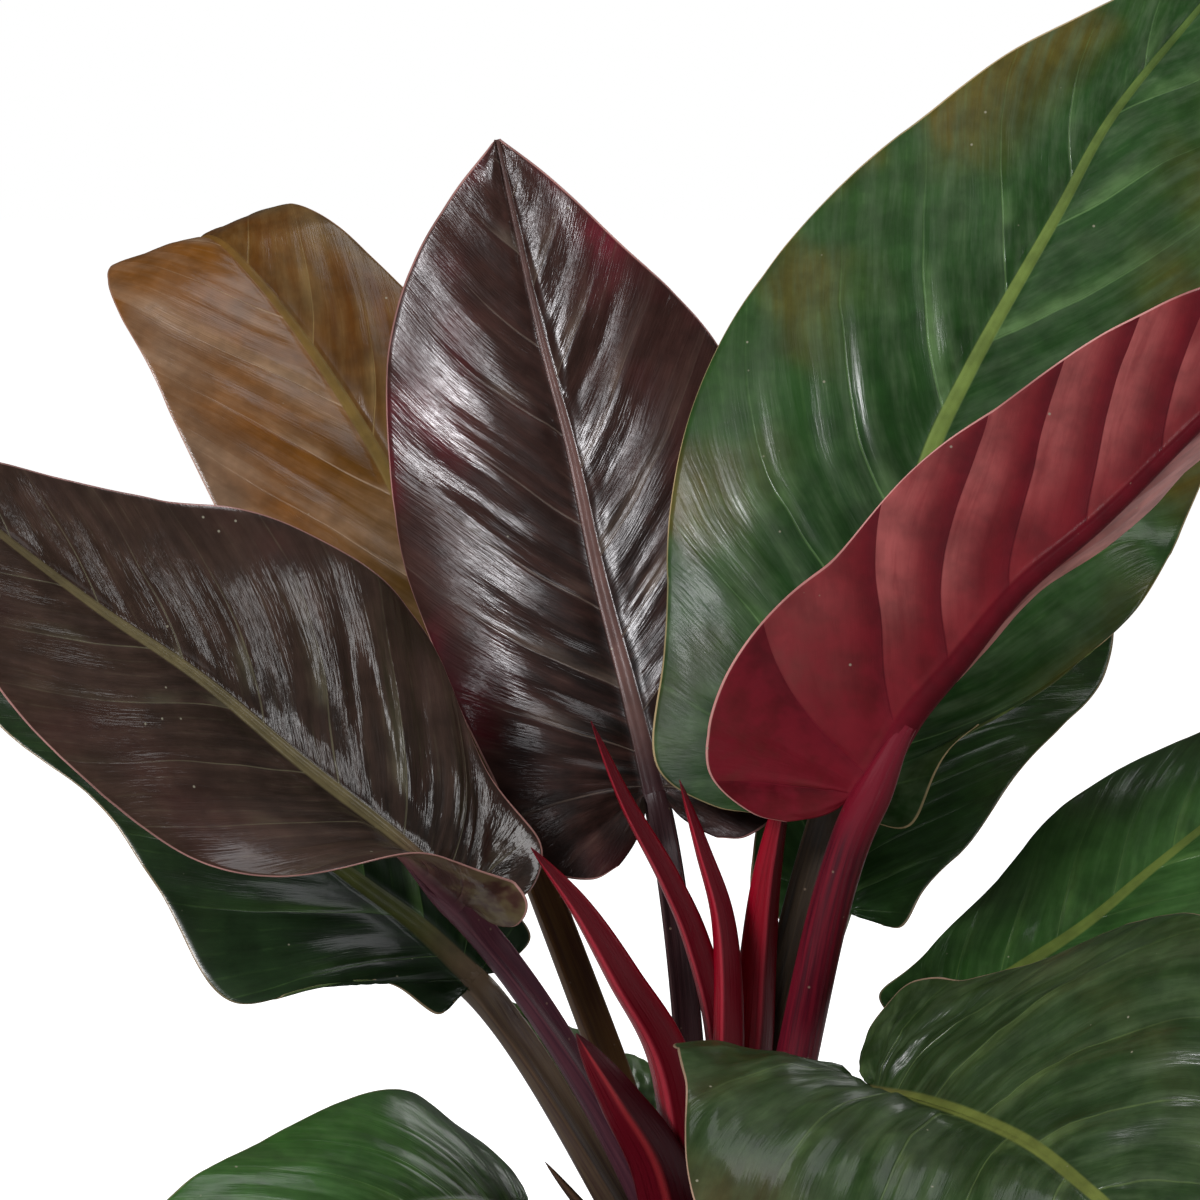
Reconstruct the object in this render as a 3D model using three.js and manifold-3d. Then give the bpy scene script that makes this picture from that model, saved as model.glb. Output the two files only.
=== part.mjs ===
// A potted Imperial Red philodendron: glossy blades on long stalks, with red sheaths
// round the new growth, on one short stem that stands in a soil-filled round pot.
// Millimetres, +Z up. The origin is the middle of the pot's flat underside, on the surface it stands on.
// The plant is seen from -Y in the photograph, with +X to the right.

import * as THREE from 'three';
import { mergeVertices } from 'three/addons/utils/BufferGeometryUtils.js';
import Module from 'manifold-3d';

const wasm = await Module();
wasm.setup();

// Driving dimensions

const POT = {
  height: 190,
  rimRadius: 105,
  rimBandHeight: 20,
  rimBandDepth: 4,
  baseRadius: 74,
  wall: 3,
  floor: 4,
  drainHoles: 8,
  drainRadius: 5.5,
  drainCircle: 52,
  drainSides: 12,
  segments: 40,
};
const POT_EDGE = 2; // how far the pot's foot and lip are rounded off
const POT_CORNER = 4; // the slope where the pot's wall meets its floor inside

const SOIL = {
  level: 166, // at the wall
  heap: 5, // how much higher the middle is
  rings: [0.8, 0.55, 0.3], // shares of the way out to the wall
  ripples: [
    { height: 1.2, along: 0.13, across: 0.11, begin: 1 },
    { height: 0.8, along: 0.31, across: 0.27, begin: 2 },
  ],
};
const CLEARANCE = 0.3; // between pieces that touch
const SLIVER = 0.03; // edges as short as this are closed up after a cut

const STEM = {
  bottom: 96,
  top: 194,
  radius: 16,
  tipShare: 0.7, // the radius at the very bottom, to the one above it
  topRadius: 11,
  crownShare: 0.5, // and at the very top, to the one below it
  rings: 4,
  scar: 0.8, // how far every second ring stands out
  taper: 14, // the height of its pointed lower end
  crown: 8, // the height of its rounded top
  sides: 16,
};

const BLADE = {
  thickness: 0.9,
  rows: 18,
  columns: [0.3, 0.62, 1], // shares of the way from the rib's edge to the margin
  tipWidth: 1.4,
  ribShare: 0.7, // the most of a half's width that the midrib takes
  curlSteps: 6,
};

// The lobe behind the joint, from its inner end round to its outer side, as shares of its reach and of
// the first width. Its inner edge bulges back and in towards the stalk, by shares of the same, which fades
// along that share of the margin.
const LOBE = [[0.9, 0.34], [1, 0.52], [0.62, 0.84]];
const BULGE = { back: 0.08, inward: 0.06, fade: 0.2 };
const STATIONS = [0.08, 0.25, 0.45, 0.65, 0.82, 0.93]; // where the widths are given, as shares of the length
const VEIN_LAG = 1.9; // how far the side veins fan out round the lobe before they climb the midrib
const VEIN_BOW = 0.06; // how far a side vein sags towards the base on its way out, to the length

// The midrib's half-width, to the stalk's radius, and its depth under the blade, to that half-width.
const RIB = { atJoint: 0.8, atTip: 0.16, taper: 0.7, depth: 0.9 };

const STALK = {
  sides: 8,
  rings: 9,
  groove: 0.45, // the height of the upper side's middle, to the depth
  shoulder: 0.85, // and that of the two ridges beside it, to their place on the round
  footRadius: 9,
  footDepth: 6.5,
  footReach: 42, // how far up from the stem the broad foot narrows
  footTaper: 1.5, // and how soon it does
  width: [1.12, 0.95], // half-width at the foot and at the joint, to the radius
  depth: [1.05, 0.85],
  drop: 0.55, // how far the middle lies under the midrib at the joint, to the radius
  firstHeight: 190, // of the youngest stalk's foot
  stepDown: 0.9,
  firstOut: 5,
  stepOut: 0.9,
  risePull: 0.3, // how long the stalk keeps the way it leaves the stem, to its reach
  jointPull: 0.25, // and the way it meets the midrib
};

// Half of a sheath's section, keeled at the back and drawn in on the open side.
const SHEATH_SECTION = [[0, -1.15], [0.62, -0.8], [1, -0.1], [0.72, 0.45], [0.2, 0.3]];
const SHEATH_FOOT = 0.75; // the width at the foot, to the widest
const SHEATH_POINT = { power: 2.2, blunt: 0.9, least: 0.05 };

// Each leaf: the spine is the midrib from the stalk's joint to the tip, and face is the way the upper
// side looks at the joint and at the tip. The halves are the left and the right one, seen from the upper
// side with the tip away. lobe is how far a half reaches back behind the joint, widths its width at the
// shares STATIONS of the length. fold lifts a half from the midrib and curl bends it on towards its
// margin, both in degrees, at the joint, the middle and the tip. wave is the margin's swing, its number
// of waves and where they begin. The youngest leaves, whose stalks stand innermost, come first in ORDER.
const LEAVES = [
  {
    name: 'leaf_01',
    tone: 'dark',
    spine: [
      [-17, 32, 358], [-25, 48, 389], [-36, 66, 429], [-46, 84, 473], [-57, 100, 513],
      [-73, 122, 582],
    ],
    face: [[-0.05, -1, 0.2], [-0.1, -1, 0.3]],
    stalk: { azimuth: 100, radius: 5, lean: 0.1 },
    halves: [
      {
        lobe: 26, widths: [54, 62, 69, 62, 44, 21],
        fold: [16, 12, 6], curl: [-14, -18, -8], wave: [3, 1.5, 0.1],
      },
      {
        lobe: 25, widths: [54, 66, 68, 58, 33, 15],
        fold: [18, 14, 8], curl: [-14, -18, -8], wave: [3, 1.5, 0.6],
      },
    ],
  },
  {
    name: 'leaf_02',
    tone: 'olive',
    spine: [
      [-67, 74, 349], [-85, 104, 395], [-100, 124, 429], [-115, 142, 461], [-145, 170, 505],
      [-168, 187, 532], [-181, 204, 542], [-190, 226, 540], [-196, 246, 526],
    ],
    face: [[0.25, -1, 0.3], [-0.1, -0.5, 0.85]],
    stalk: { azimuth: 140, radius: 6, lean: 0.35 },
    halves: [
      {
        lobe: 22, widths: [46, 61, 64, 60, 49, 26],
        fold: [12, 8, 8], curl: [-8, -8, -4], wave: [3, 1.5, 0.3],
      },
      {
        lobe: 22, widths: [42, 53, 55, 44, 35, 21],
        fold: [12, 10, 6], curl: [-10, -10, -10], wave: [3, 1.5, 0.2],
      },
    ],
  },
  {
    name: 'leaf_03',
    tone: 'dark',
    spine: [
      [-83, -22, 329], [-103, -28, 350], [-136, -36, 379], [-169, -44, 409], [-201, -52, 433],
      [-233, -58, 459], [-274, -64, 494],
    ],
    face: [[0.36, -0.82, 0.55], [0.3, -0.85, 0.5]],
    stalk: { azimuth: 200, radius: 5.6, lean: 0.3 },
    halves: [
      {
        lobe: 14, widths: [34, 62, 65, 52, 32, 14],
        fold: [70, 30, 20, 15, 10], curl: [50, 6, -12, -9, -6], wave: [3, 1.5, 0.4],
      },
      {
        lobe: 16, widths: [42, 72, 66, 43, 22, 9],
        fold: [20, 18, 10], curl: [-16, -16, -8], wave: [6, 1.6, 0.55],
      },
    ],
  },
  {
    name: 'leaf_04',
    tone: 'green',
    spine: [
      [-79, 6, 297], [-98, 12, 314], [-116, 20, 326], [-147, 30, 347], [-183, 42, 370],
      [-226, 54, 391], [-269, 64, 408],
    ],
    face: [[0.25, -0.75, 0.6], [0.3, -0.75, 0.6]],
    stalk: { azimuth: 176, radius: 6, lean: 0.65 },
    halves: [
      {
        lobe: 0.5, widths: [26, 67, 50, 34, 26, 14],
        fold: [14, 12, 6], curl: [-10, -14, -10], wave: [2, 1.5, 0.2],
      },
      {
        lobe: 4, widths: [30, 48, 50, 42, 26, 12],
        fold: [14, 12, 6], curl: [-10, -14, -10], wave: [3, 1.5, 0.2],
      },
    ],
  },
  {
    name: 'leaf_05',
    tone: 'green',
    spine: [
      [-60, -50, 226], [-78, -78, 238], [-100, -104, 243], [-126, -130, 240], [-154, -152, 230],
      [-184, -166, 212],
    ],
    face: [[0.1, -0.6, 0.8], [0, -0.7, 0.7]],
    stalk: { azimuth: 226, radius: 5, lean: 1 },
    halves: [
      {
        lobe: 20, widths: [40, 46, 46, 38, 24, 10],
        fold: [12, 10, 4], curl: [-14, -16, -10], wave: [3, 1.5, 0.2],
      },
      {
        lobe: 12, widths: [53, 52, 47, 42, 34, 17],
        fold: [18, 14, 6], curl: [-16, -14, -10], wave: [4, 1.5, 0],
      },
    ],
  },
  {
    name: 'leaf_06',
    tone: 'forest',
    spine: [
      [44, 6, 363], [62, 20, 414], [77, 40, 472], [93, 50, 505], [125, 68, 559], [143, 78, 590],
      [174, 92, 627], [195, 102, 650],
    ],
    face: [[-0.1, -1, 0.25], [-0.15, -0.95, 0.35]],
    stalk: { azimuth: 55, radius: 6, lean: 0.4 },
    halves: [
      {
        lobe: 18, widths: [72, 84, 83, 64, 33, 15],
        fold: [16, 10, 6], curl: [-18, -14, -8], wave: [4, 1.5, 0.85],
      },
      {
        lobe: 6, widths: [34, 84, 90, 76, 46, 22],
        fold: [14, 8, 6], curl: [-18, -14, -10], wave: [6, 1.6, 0.1],
      },
    ],
  },
  {
    name: 'leaf_07',
    tone: 'green',
    spine: [
      [49, 52, 313], [60, 70, 342], [79, 92, 370], [106, 116, 397], [150, 142, 427],
    ],
    face: [[-0.1, -0.9, 0.4], [0, -0.8, 0.6]],
    stalk: { azimuth: 80, radius: 4, lean: 0.2 },
    halves: [
      {
        lobe: 10, widths: [36, 40, 40, 34, 22, 10],
        fold: [12, 8, 4], curl: [-12, -12, -8], wave: [3, 1.5, 0.2],
      },
      {
        lobe: 1, widths: [26, 36, 38, 38, 34, 18],
        fold: [12, 8, 4], curl: [-12, -12, -8], wave: [4, 1.5, 0.6],
      },
    ],
  },
  {
    name: 'leaf_08',
    tone: 'red',
    spine: [
      [53, -30, 365], [67, -38, 394], [83, -44, 415], [102, -52, 440], [128, -60, 464],
      [159, -70, 497], [186, -78, 524], [215, -86, 547],
    ],
    face: [[-0.1, 1, 0.1], [-0.1, 1, 0.1]],
    stalk: { azimuth: -30, radius: 7, lean: 0.7 },
    halves: [
      {
        lobe: 12, widths: [34, 46, 50, 42, 28, 12],
        fold: [66, 60, 44], curl: [4, 4, 8], wave: [2, 1.5, 0.2],
      },
      {
        lobe: 20, widths: [62, 54, 52, 46, 31, 13],
        fold: [8, 10, 10], curl: [-4, -6, 0], wave: [4, 1.5, 0.7],
      },
    ],
  },
  {
    name: 'leaf_09',
    tone: 'green',
    spine: [
      [77, -6, 282], [105, 4, 299], [132, 14, 315], [155, 24, 332], [180, 34, 350], [213, 44, 373],
      [238, 50, 389],
    ],
    face: [[-0.35, -0.6, 0.7], [-0.3, -0.6, 0.7]],
    stalk: { azimuth: 4, radius: 5, lean: 0.9 },
    halves: [
      {
        lobe: 7, widths: [28, 41, 45, 42, 31, 14],
        fold: [14, 12, 6], curl: [-12, -14, -8], wave: [5, 1.6, 0.45],
      },
      {
        lobe: 18, widths: [38, 46, 48, 42, 28, 12],
        fold: [18, 14, 6], curl: [-12, -14, -8], wave: [4, 1.5, 0.4],
      },
    ],
  },
  {
    name: 'leaf_10',
    tone: 'moss',
    spine: [
      [53, -52, 269], [69, -80, 273], [85, -108, 274], [101, -136, 272], [114, -160, 266],
      [127, -182, 257], [140, -208, 240], [150, -226, 218], [157, -234, 195],
    ],
    face: [[-0.25, -0.35, 0.9], [-0.1, -0.5, 0.8]],
    stalk: { azimuth: -48, radius: 6, lean: 0.8 },
    halves: [
      {
        lobe: 20, widths: [52, 80, 90, 78, 46, 18],
        fold: [32, 36, 8], curl: [-12, -14, -10], wave: [9, 1.7, 0.5],
      },
      {
        lobe: 24, widths: [82, 104, 96, 74, 44, 18],
        fold: [62, 6, 2], curl: [-26, -14, -10], wave: [4, 1.5, 0.1],
      },
    ],
  },
  {
    name: 'leaf_11',
    tone: 'moss',
    spine: [
      [-4, 44, 222], [-21, 86, 230], [-40, 124, 238], [-57, 160, 244], [-74, 192, 252],
    ],
    face: [[0.2, -0.5, 0.8], [0.2, -0.3, 1]],
    stalk: { azimuth: 112, radius: 4.6, lean: 1 },
    halves: [
      {
        lobe: 8, widths: [18, 22, 24, 20, 12, 6],
        fold: [12, 10, 4], curl: [-14, -16, -8], wave: [2, 1.5, 0.2],
      },
      {
        lobe: 14, widths: [28, 34, 34, 28, 18, 8],
        fold: [12, 10, 4], curl: [-14, -16, -8], wave: [3, 1.5, 0.6],
      },
    ],
  },
  {
    name: 'leaf_12',
    tone: 'green',
    spine: [
      [40, 84, 214], [60, 122, 222], [82, 170, 214], [102, 216, 190], [116, 250, 158],
    ],
    face: [[0, 0.1, 1], [0.2, 0.5, 0.85]],
    stalk: { azimuth: 66, radius: 4.6, lean: 1.2 },
    halves: [
      {
        lobe: 18, widths: [44, 52, 54, 44, 28, 12],
        fold: [12, 10, 4], curl: [-14, -16, -8], wave: [3, 1.5, 0.2],
      },
      {
        lobe: 18, widths: [44, 52, 54, 44, 28, 12],
        fold: [12, 10, 4], curl: [-14, -16, -8], wave: [3, 1.5, 0.6],
      },
    ],
  },
  {
    name: 'leaf_13',
    tone: 'green',
    spine: [
      [-10, -96, 202], [-22, -130, 200], [-38, -170, 182], [-52, -204, 152], [-60, -226, 116],
    ],
    face: [[0, -0.2, 1], [-0.2, -0.8, 0.5]],
    stalk: { azimuth: 262, radius: 4.6, lean: 1.2 },
    halves: [
      {
        lobe: 16, widths: [40, 48, 50, 42, 26, 12],
        fold: [12, 10, 4], curl: [-14, -16, -8], wave: [3, 1.5, 0.2],
      },
      {
        lobe: 16, widths: [40, 48, 50, 42, 26, 12],
        fold: [12, 10, 4], curl: [-14, -16, -8], wave: [3, 1.5, 0.6],
      },
    ],
  },
];

// The leaves from the youngest and innermost to the oldest.
const ORDER = ['leaf_08', 'leaf_01', 'leaf_06', 'leaf_03', 'leaf_02', 'leaf_07', 'leaf_04', 'leaf_09',
  'leaf_10', 'leaf_05', 'leaf_11', 'leaf_12', 'leaf_13'];

// Each sheath is a pointed scale round new growth: its path from the stem to the tip,
// its half-width and half-depth at the widest, and the way its open side looks.
const SHEATHS = [
  {
    name: 'sheath_1',
    path: [[2, 0, 190], [6, -4, 275], [-3, -6, 314], [-12, -8, 335], [-27, -12, 363], [-39, -18, 391]],
    width: 7, depth: 4.6, open: [0.6, 0.6, 0.2],
  },
  {
    name: 'sheath_2',
    path: [[3, -2, 190], [8, -10, 276], [6, -12, 322], [-1, -12, 346], [-9, -12, 370]],
    width: 6.6, depth: 4.6, open: [0.5, 0.8, 0.1],
  },
  {
    name: 'sheath_3',
    path: [[4, 2, 190], [16, 2, 274], [18, 1, 305], [21, -3, 336], [29, -10, 378]],
    width: 8.2, depth: 5.5, open: [-0.3, 0.9, 0],
  },
  {
    name: 'sheath_4',
    path: [[-2, -8, 190], [-12, -26, 276], [-28, -34, 307], [-43, -38, 332], [-59, -42, 352]],
    width: 10, depth: 6, open: [0.5, 0.7, 0.4],
  },
  {
    name: 'sheath_5',
    path: [[-6, -8, 188], [-16, -26, 240], [-29, -34, 264], [-44, -38, 288]],
    width: 11, depth: 5.5, open: [0.1, 1, 0],
  },
  {
    name: 'sheath_6',
    path: [[-8, -6, 184], [-26, -8, 204], [-42, -9, 222], [-55, -8, 237]],
    width: 5, depth: 3, open: [0.6, 0, 0.8],
  },
];

const FINISHES = {
  dark: { color: 0x3a2826, roughness: 0.3 },
  olive: { color: 0x6b5230, roughness: 0.3 },
  green: { color: 0x1f3f1c, roughness: 0.3 },
  forest: { color: 0x274a2a, roughness: 0.3 },
  moss: { color: 0x33502e, roughness: 0.3 },
  red: { color: 0x8a2430, roughness: 0.4 },
  stalk: { color: 0x4c2733, roughness: 0.35 },
  sheath: { color: 0x93101f, roughness: 0.3 },
  dry: { color: 0x4a3626, roughness: 0.6 },
  stem: { color: 0x4f4a34, roughness: 0.7 },
  soil: { color: 0x2c211a, roughness: 1 },
  pot: { color: 0x2f3032, roughness: 0.5 },
};

// Solids

function vec(a) {
  return new THREE.Vector3(...a);
}

function mix(a, b, t) {
  return a + (b - a) * t;
}

// The value at share t of a list of evenly spaced values.
function along(values, t) {
  const at = THREE.MathUtils.clamp(t, 0, 1) * (values.length - 1);
  const i = Math.min(Math.floor(at), values.length - 2);
  return mix(values[i], values[i + 1], at - i);
}

// A geometry's closed mesh as a solid that can be cut.
function toSolid(geometry) {
  const bare = new THREE.BufferGeometry();
  bare.setAttribute('position', geometry.getAttribute('position'));
  bare.setIndex(geometry.getIndex());
  const merged = mergeVertices(bare, 1e-4);
  return new wasm.Manifold(new wasm.Mesh({
    numProp: 3,
    vertProperties: new Float32Array(merged.getAttribute('position').array),
    triVerts: new Uint32Array(merged.getIndex().array),
  }));
}

// The largest body of a solid, as a geometry; loose scraps that a cut leaves are dropped.
function toGeometry(solid) {
  const bodies = solid.decompose();
  bodies.sort((a, b) => b.volume() - a.volume());
  const mesh = bodies[0].simplify(SLIVER).getMesh();
  const geometry = new THREE.BufferGeometry();
  geometry.setAttribute('position', new THREE.BufferAttribute(new Float32Array(mesh.vertProperties), 3));
  geometry.setIndex(new THREE.BufferAttribute(new Uint32Array(mesh.triVerts), 1));
  return geometry;
}

// A closed skin over rings of equal length, with the two ends capped.
function skin(rings) {
  const count = rings[0].length;
  const positions = rings.flat().flatMap((p) => [p.x, p.y, p.z]);
  const index = [];
  for (let i = 0; i + 1 < rings.length; i++) {
    for (let j = 0; j < count; j++) {
      const a = i * count + j;
      const b = i * count + (j + 1) % count;
      index.push(a, b + count, b, a, a + count, b + count);
    }
  }
  const last = (rings.length - 1) * count;
  for (let j = 1; j + 1 < count; j++) {
    index.push(0, j, j + 1);
    index.push(last, last + j + 1, last + j);
  }
  const geometry = new THREE.BufferGeometry();
  geometry.setAttribute('position', new THREE.Float32BufferAttribute(positions, 3));
  geometry.setIndex(index);
  return geometry;
}

// Blades

// The axes at one place of a curve: along it, up towards the given face, and across to the right.
function axesAt(tangent, face) {
  const up = face.clone().addScaledVector(tangent, -face.dot(tangent)).normalize();
  return { tangent, up, right: new THREE.Vector3().crossVectors(tangent, up) };
}

// The spine as a function of the distance x from the joint; behind the joint it runs on straight.
function spineOf(leaf) {
  const curve = new THREE.CatmullRomCurve3(leaf.spine.map(vec));
  const length = curve.getLength();
  const first = vec(leaf.face[0]);
  const last = vec(leaf.face[1]);
  return {
    length,
    at(x) {
      const u = THREE.MathUtils.clamp(x / length, 0, 1);
      const point = curve.getPointAt(u);
      const tangent = curve.getTangentAt(u);
      if (x < 0) point.addScaledVector(tangent, x);
      return { point, ...axesAt(tangent, first.clone().lerp(last, u)) };
    },
  };
}

// The margin of one half as a curve in the flat leaf, x along the midrib and y out from it: from the
// lobe's inner end round the lobe, through the widths and to the tip.
function marginOf(length, half) {
  const points = LOBE.map(([back, out]) => [-back * half.lobe, out * half.widths[0]]);
  STATIONS.forEach((share, i) => points.push([share * length, half.widths[i]]));
  points.push([length, BLADE.tipWidth]);
  return new THREE.CatmullRomCurve3(points.map(([x, y]) => new THREE.Vector3(x, y, 0)));
}

// A point of the flat leaf on row t of a half, at share q of the way from the midrib's edge to the margin.
function flatPoint(half, length, margin, t, q, ribWidth) {
  const out = margin.getPointAt(t);
  const edge = Math.min(ribWidth, BLADE.ribShare * out.y);
  const arch = 4 * q * (1 - q);
  const bow = arch * VEIN_BOW * length * t * (1 - t);
  const bulge = arch * Math.max(0, 1 - t / BULGE.fade) ** 2;
  return {
    x: mix(footAt(length, t), out.x, q) - bow - bulge * BULGE.back * half.lobe,
    y: mix(edge, out.y, q) - bulge * BULGE.inward * half.widths[0],
  };
}

// How far along the midrib row t leaves it.
function footAt(length, t) {
  return length * t ** VEIN_LAG;
}

// Where a point of the flat leaf lies in space: fold lifts it at the midrib, and from there a curve
// that has turned by twice the curl at the widest place takes it out.
function liftedPoint(leaf, spine, side, flat) {
  const u = flat.x / spine.length;
  const half = leaf.halves[side];
  const fold = THREE.MathUtils.degToRad(along(half.fold, u));
  const share = flat.y / Math.max(...half.widths);
  const turn = 2 * THREE.MathUtils.degToRad(along(half.curl, u)) * share;
  const steps = BLADE.curlSteps;
  let across = 0;
  let lift = 0;
  for (let k = 0; k < steps; k++) {
    const angle = fold + turn * (k + 0.5) / steps;
    across += Math.cos(angle) * flat.y / steps;
    lift += Math.sin(angle) * flat.y / steps;
  }
  const [swing, waves, begin] = half.wave;
  lift += swing * share ** 2 * Math.sin(2 * Math.PI * (waves * u + begin));
  const at = spine.at(flat.x);
  return at.point
    .addScaledVector(at.right, side === 0 ? -across : across)
    .addScaledVector(at.up, lift);
}

// Half the rib's width and its height under the blade, at distance x from the joint.
function ribAt(leaf, spine, x) {
  const u = THREE.MathUtils.clamp(x / spine.length, 0, 1);
  const width = leaf.stalk.radius * mix(RIB.atJoint, RIB.atTip, u ** RIB.taper);
  return { width, height: width * RIB.depth };
}

// The blade's middle surface as rows of points from the left margin over the midrib to the right one.
function bladeRows(leaf, spine) {
  const margins = leaf.halves.map((half) => marginOf(spine.length, half));
  const rows = [];
  for (let i = 0; i <= BLADE.rows; i++) {
    const t = i / BLADE.rows;
    const foot = footAt(spine.length, t);
    const rib = ribAt(leaf, spine, foot);
    const sides = leaf.halves.map((half, side) => [0, ...BLADE.columns].map((q) => {
      const flat = flatPoint(half, spine.length, margins[side], t, q, rib.width);
      return liftedPoint(leaf, spine, side, flat);
    }));
    const middle = spine.at(foot);
    rows.push({ points: [...sides[0].reverse(), middle.point, ...sides[1]], up: middle.up, rib });
  }
  return rows;
}

// The way the upper side looks at a point of the rows.
function gridNormal(rows, i, j) {
  const a = rows[Math.max(i - 1, 0)].points[j];
  const b = rows[Math.min(i + 1, rows.length - 1)].points[j];
  const c = rows[i].points[Math.max(j - 1, 0)];
  const d = rows[i].points[Math.min(j + 1, rows[i].points.length - 1)];
  return new THREE.Vector3().crossVectors(d.clone().sub(c), b.clone().sub(a)).normalize();
}

function bladeGeometry(leaf, spine) {
  const rows = bladeRows(leaf, spine);
  const wide = rows[0].points.length;
  const middle = (wide - 1) / 2;
  const top = [];
  const bottom = [];
  rows.forEach((row, i) => row.points.forEach((point, j) => {
    const normal = j === middle ? row.up : gridNormal(rows, i, j);
    const rib = j === middle ? row.rib.height : 0;
    top.push(point.clone().addScaledVector(normal, BLADE.thickness / 2));
    bottom.push(point.clone().addScaledVector(normal, -BLADE.thickness / 2 - rib));
  }));
  const positions = [...top, ...bottom].flatMap((p) => [p.x, p.y, p.z]);
  const under = top.length;
  const index = [];
  const quad = (a, b, c, d) => index.push(a, b, c, a, c, d);
  const at = (i, j) => i * wide + j;
  const last = rows.length - 1;
  for (let i = 0; i < last; i++) {
    for (let j = 0; j + 1 < wide; j++) {
      const [a, b, c, d] = [at(i, j), at(i + 1, j), at(i + 1, j + 1), at(i, j + 1)];
      quad(a, d, c, b);
      quad(under + c, under + d, under + a, under + b);
    }
    quad(at(i, 0), at(i + 1, 0), under + at(i + 1, 0), under + at(i, 0));
    quad(at(i + 1, wide - 1), at(i, wide - 1), under + at(i, wide - 1), under + at(i + 1, wide - 1));
  }
  for (let j = 0; j + 1 < wide; j++) {
    quad(at(0, j + 1), at(0, j), under + at(0, j), under + at(0, j + 1));
    quad(at(last, j), at(last, j + 1), under + at(last, j + 1), under + at(last, j));
  }
  const geometry = new THREE.BufferGeometry();
  geometry.setAttribute('position', new THREE.Float32BufferAttribute(positions, 3));
  geometry.setIndex(index);
  return geometry;
}

// Stalks and sheaths

// A section with each of its sides moved out by grow.
function grownSection(section, grow) {
  const count = section.length;
  const outward = (i) => {
    const [x0, y0] = section[i % count];
    const [x1, y1] = section[(i + 1) % count];
    const long = Math.hypot(x1 - x0, y1 - y0);
    return [(y1 - y0) / long, (x0 - x1) / long];
  };
  return section.map(([x, y], i) => {
    const [ax, ay] = outward(i + count - 1);
    const [bx, by] = outward(i);
    const reach = grow / (1 + ax * bx + ay * by);
    return [x + (ax + bx) * reach, y + (ay + by) * reach];
  });
}

// The way a grown copy's first and last ring move along the course, so that it is longer too.
function endShift(ring) {
  if (ring === 0) return -1;
  return ring === STALK.rings ? 1 : 0;
}

// The ring of a course at share u: its section, grown by grow, across the curve and towards face.
function ringAt(curve, i, face, section, grow) {
  const u = i / STALK.rings;
  const tangent = curve.getTangentAt(u);
  const point = curve.getPointAt(u).addScaledVector(tangent, endShift(i) * grow);
  const { up, right } = axesAt(tangent, face);
  return grownSection(section, grow)
    .map(([a, b]) => point.clone().addScaledVector(right, a).addScaledVector(up, b));
}

// A round section with a shallow groove on its upper side, as points across and up.
function stalkSection(width, depth) {
  const points = [];
  for (let k = 0; k < STALK.sides; k++) {
    const angle = 2 * Math.PI * k / STALK.sides - Math.PI / 2;
    const up = Math.sin(angle);
    const inGroove = 2 * k === STALK.sides;
    const height = inGroove ? STALK.groove : up * (up > 0 ? STALK.shoulder : 1);
    points.push([width * Math.cos(angle), depth * height]);
  }
  return points;
}

// A stalk's course from its foot in the stem to its joint. Older stalks stand lower and further out.
function stalkPath(leaf, spine) {
  const age = ORDER.indexOf(leaf.name);
  const angle = THREE.MathUtils.degToRad(leaf.stalk.azimuth);
  const outward = new THREE.Vector3(Math.cos(angle), Math.sin(angle), 0);
  const foot = outward.clone().multiplyScalar(STALK.firstOut + STALK.stepOut * age)
    .setZ(STALK.firstHeight - STALK.stepDown * age);
  const joint = spine.at(0);
  const end = joint.point.clone().addScaledVector(joint.tangent, -CLEARANCE)
    .addScaledVector(joint.up, -leaf.stalk.radius * STALK.drop);
  const reach = end.distanceTo(foot);
  const rise = outward.clone().multiplyScalar(leaf.stalk.lean).setZ(1).normalize();
  const leaving = foot.clone().addScaledVector(rise, reach * STALK.risePull);
  const meeting = end.clone().addScaledVector(joint.tangent, -reach * STALK.jointPull);
  return { outward, joint, curve: new THREE.CubicBezierCurve3(foot, leaving, meeting, end) };
}

function stalkGeometry(leaf, spine, grow = 0) {
  const { curve, outward, joint } = stalkPath(leaf, spine);
  const { radius } = leaf.stalk;
  const length = curve.getLength();
  const rings = [];
  for (let i = 0; i <= STALK.rings; i++) {
    const u = i / STALK.rings;
    const face = outward.clone().negate().lerp(joint.up, u);
    const broad = Math.max(0, 1 - u * length / STALK.footReach) ** STALK.footTaper;
    const width = mix(radius, STALK.footRadius, broad) * mix(...STALK.width, u);
    const depth = mix(radius, STALK.footDepth, broad) * mix(...STALK.depth, u);
    rings.push(ringAt(curve, i, face, stalkSection(width, depth), grow));
  }
  return skin(rings);
}

function sheathSection(width, depth) {
  const [keel, ...half] = SHEATH_SECTION;
  const other = half.map(([a, b]) => [-a, b]).reverse();
  return [keel, ...half, ...other].map(([a, b]) => [a * width, b * depth]);
}

function sheathGeometry(sheath, grow = 0) {
  const curve = new THREE.CatmullRomCurve3(sheath.path.map(vec));
  const rings = [];
  for (let i = 0; i <= STALK.rings; i++) {
    const u = i / STALK.rings;
    const closing = (1 - u ** SHEATH_POINT.power) ** SHEATH_POINT.blunt;
    const taper = Math.max(SHEATH_POINT.least, Math.min(1, SHEATH_FOOT + u) * closing);
    const section = sheathSection(sheath.width * taper, sheath.depth * taper);
    rings.push(ringAt(curve, i, vec(sheath.open), section, grow));
  }
  return skin(rings);
}

// Stem, soil and pot

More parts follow.
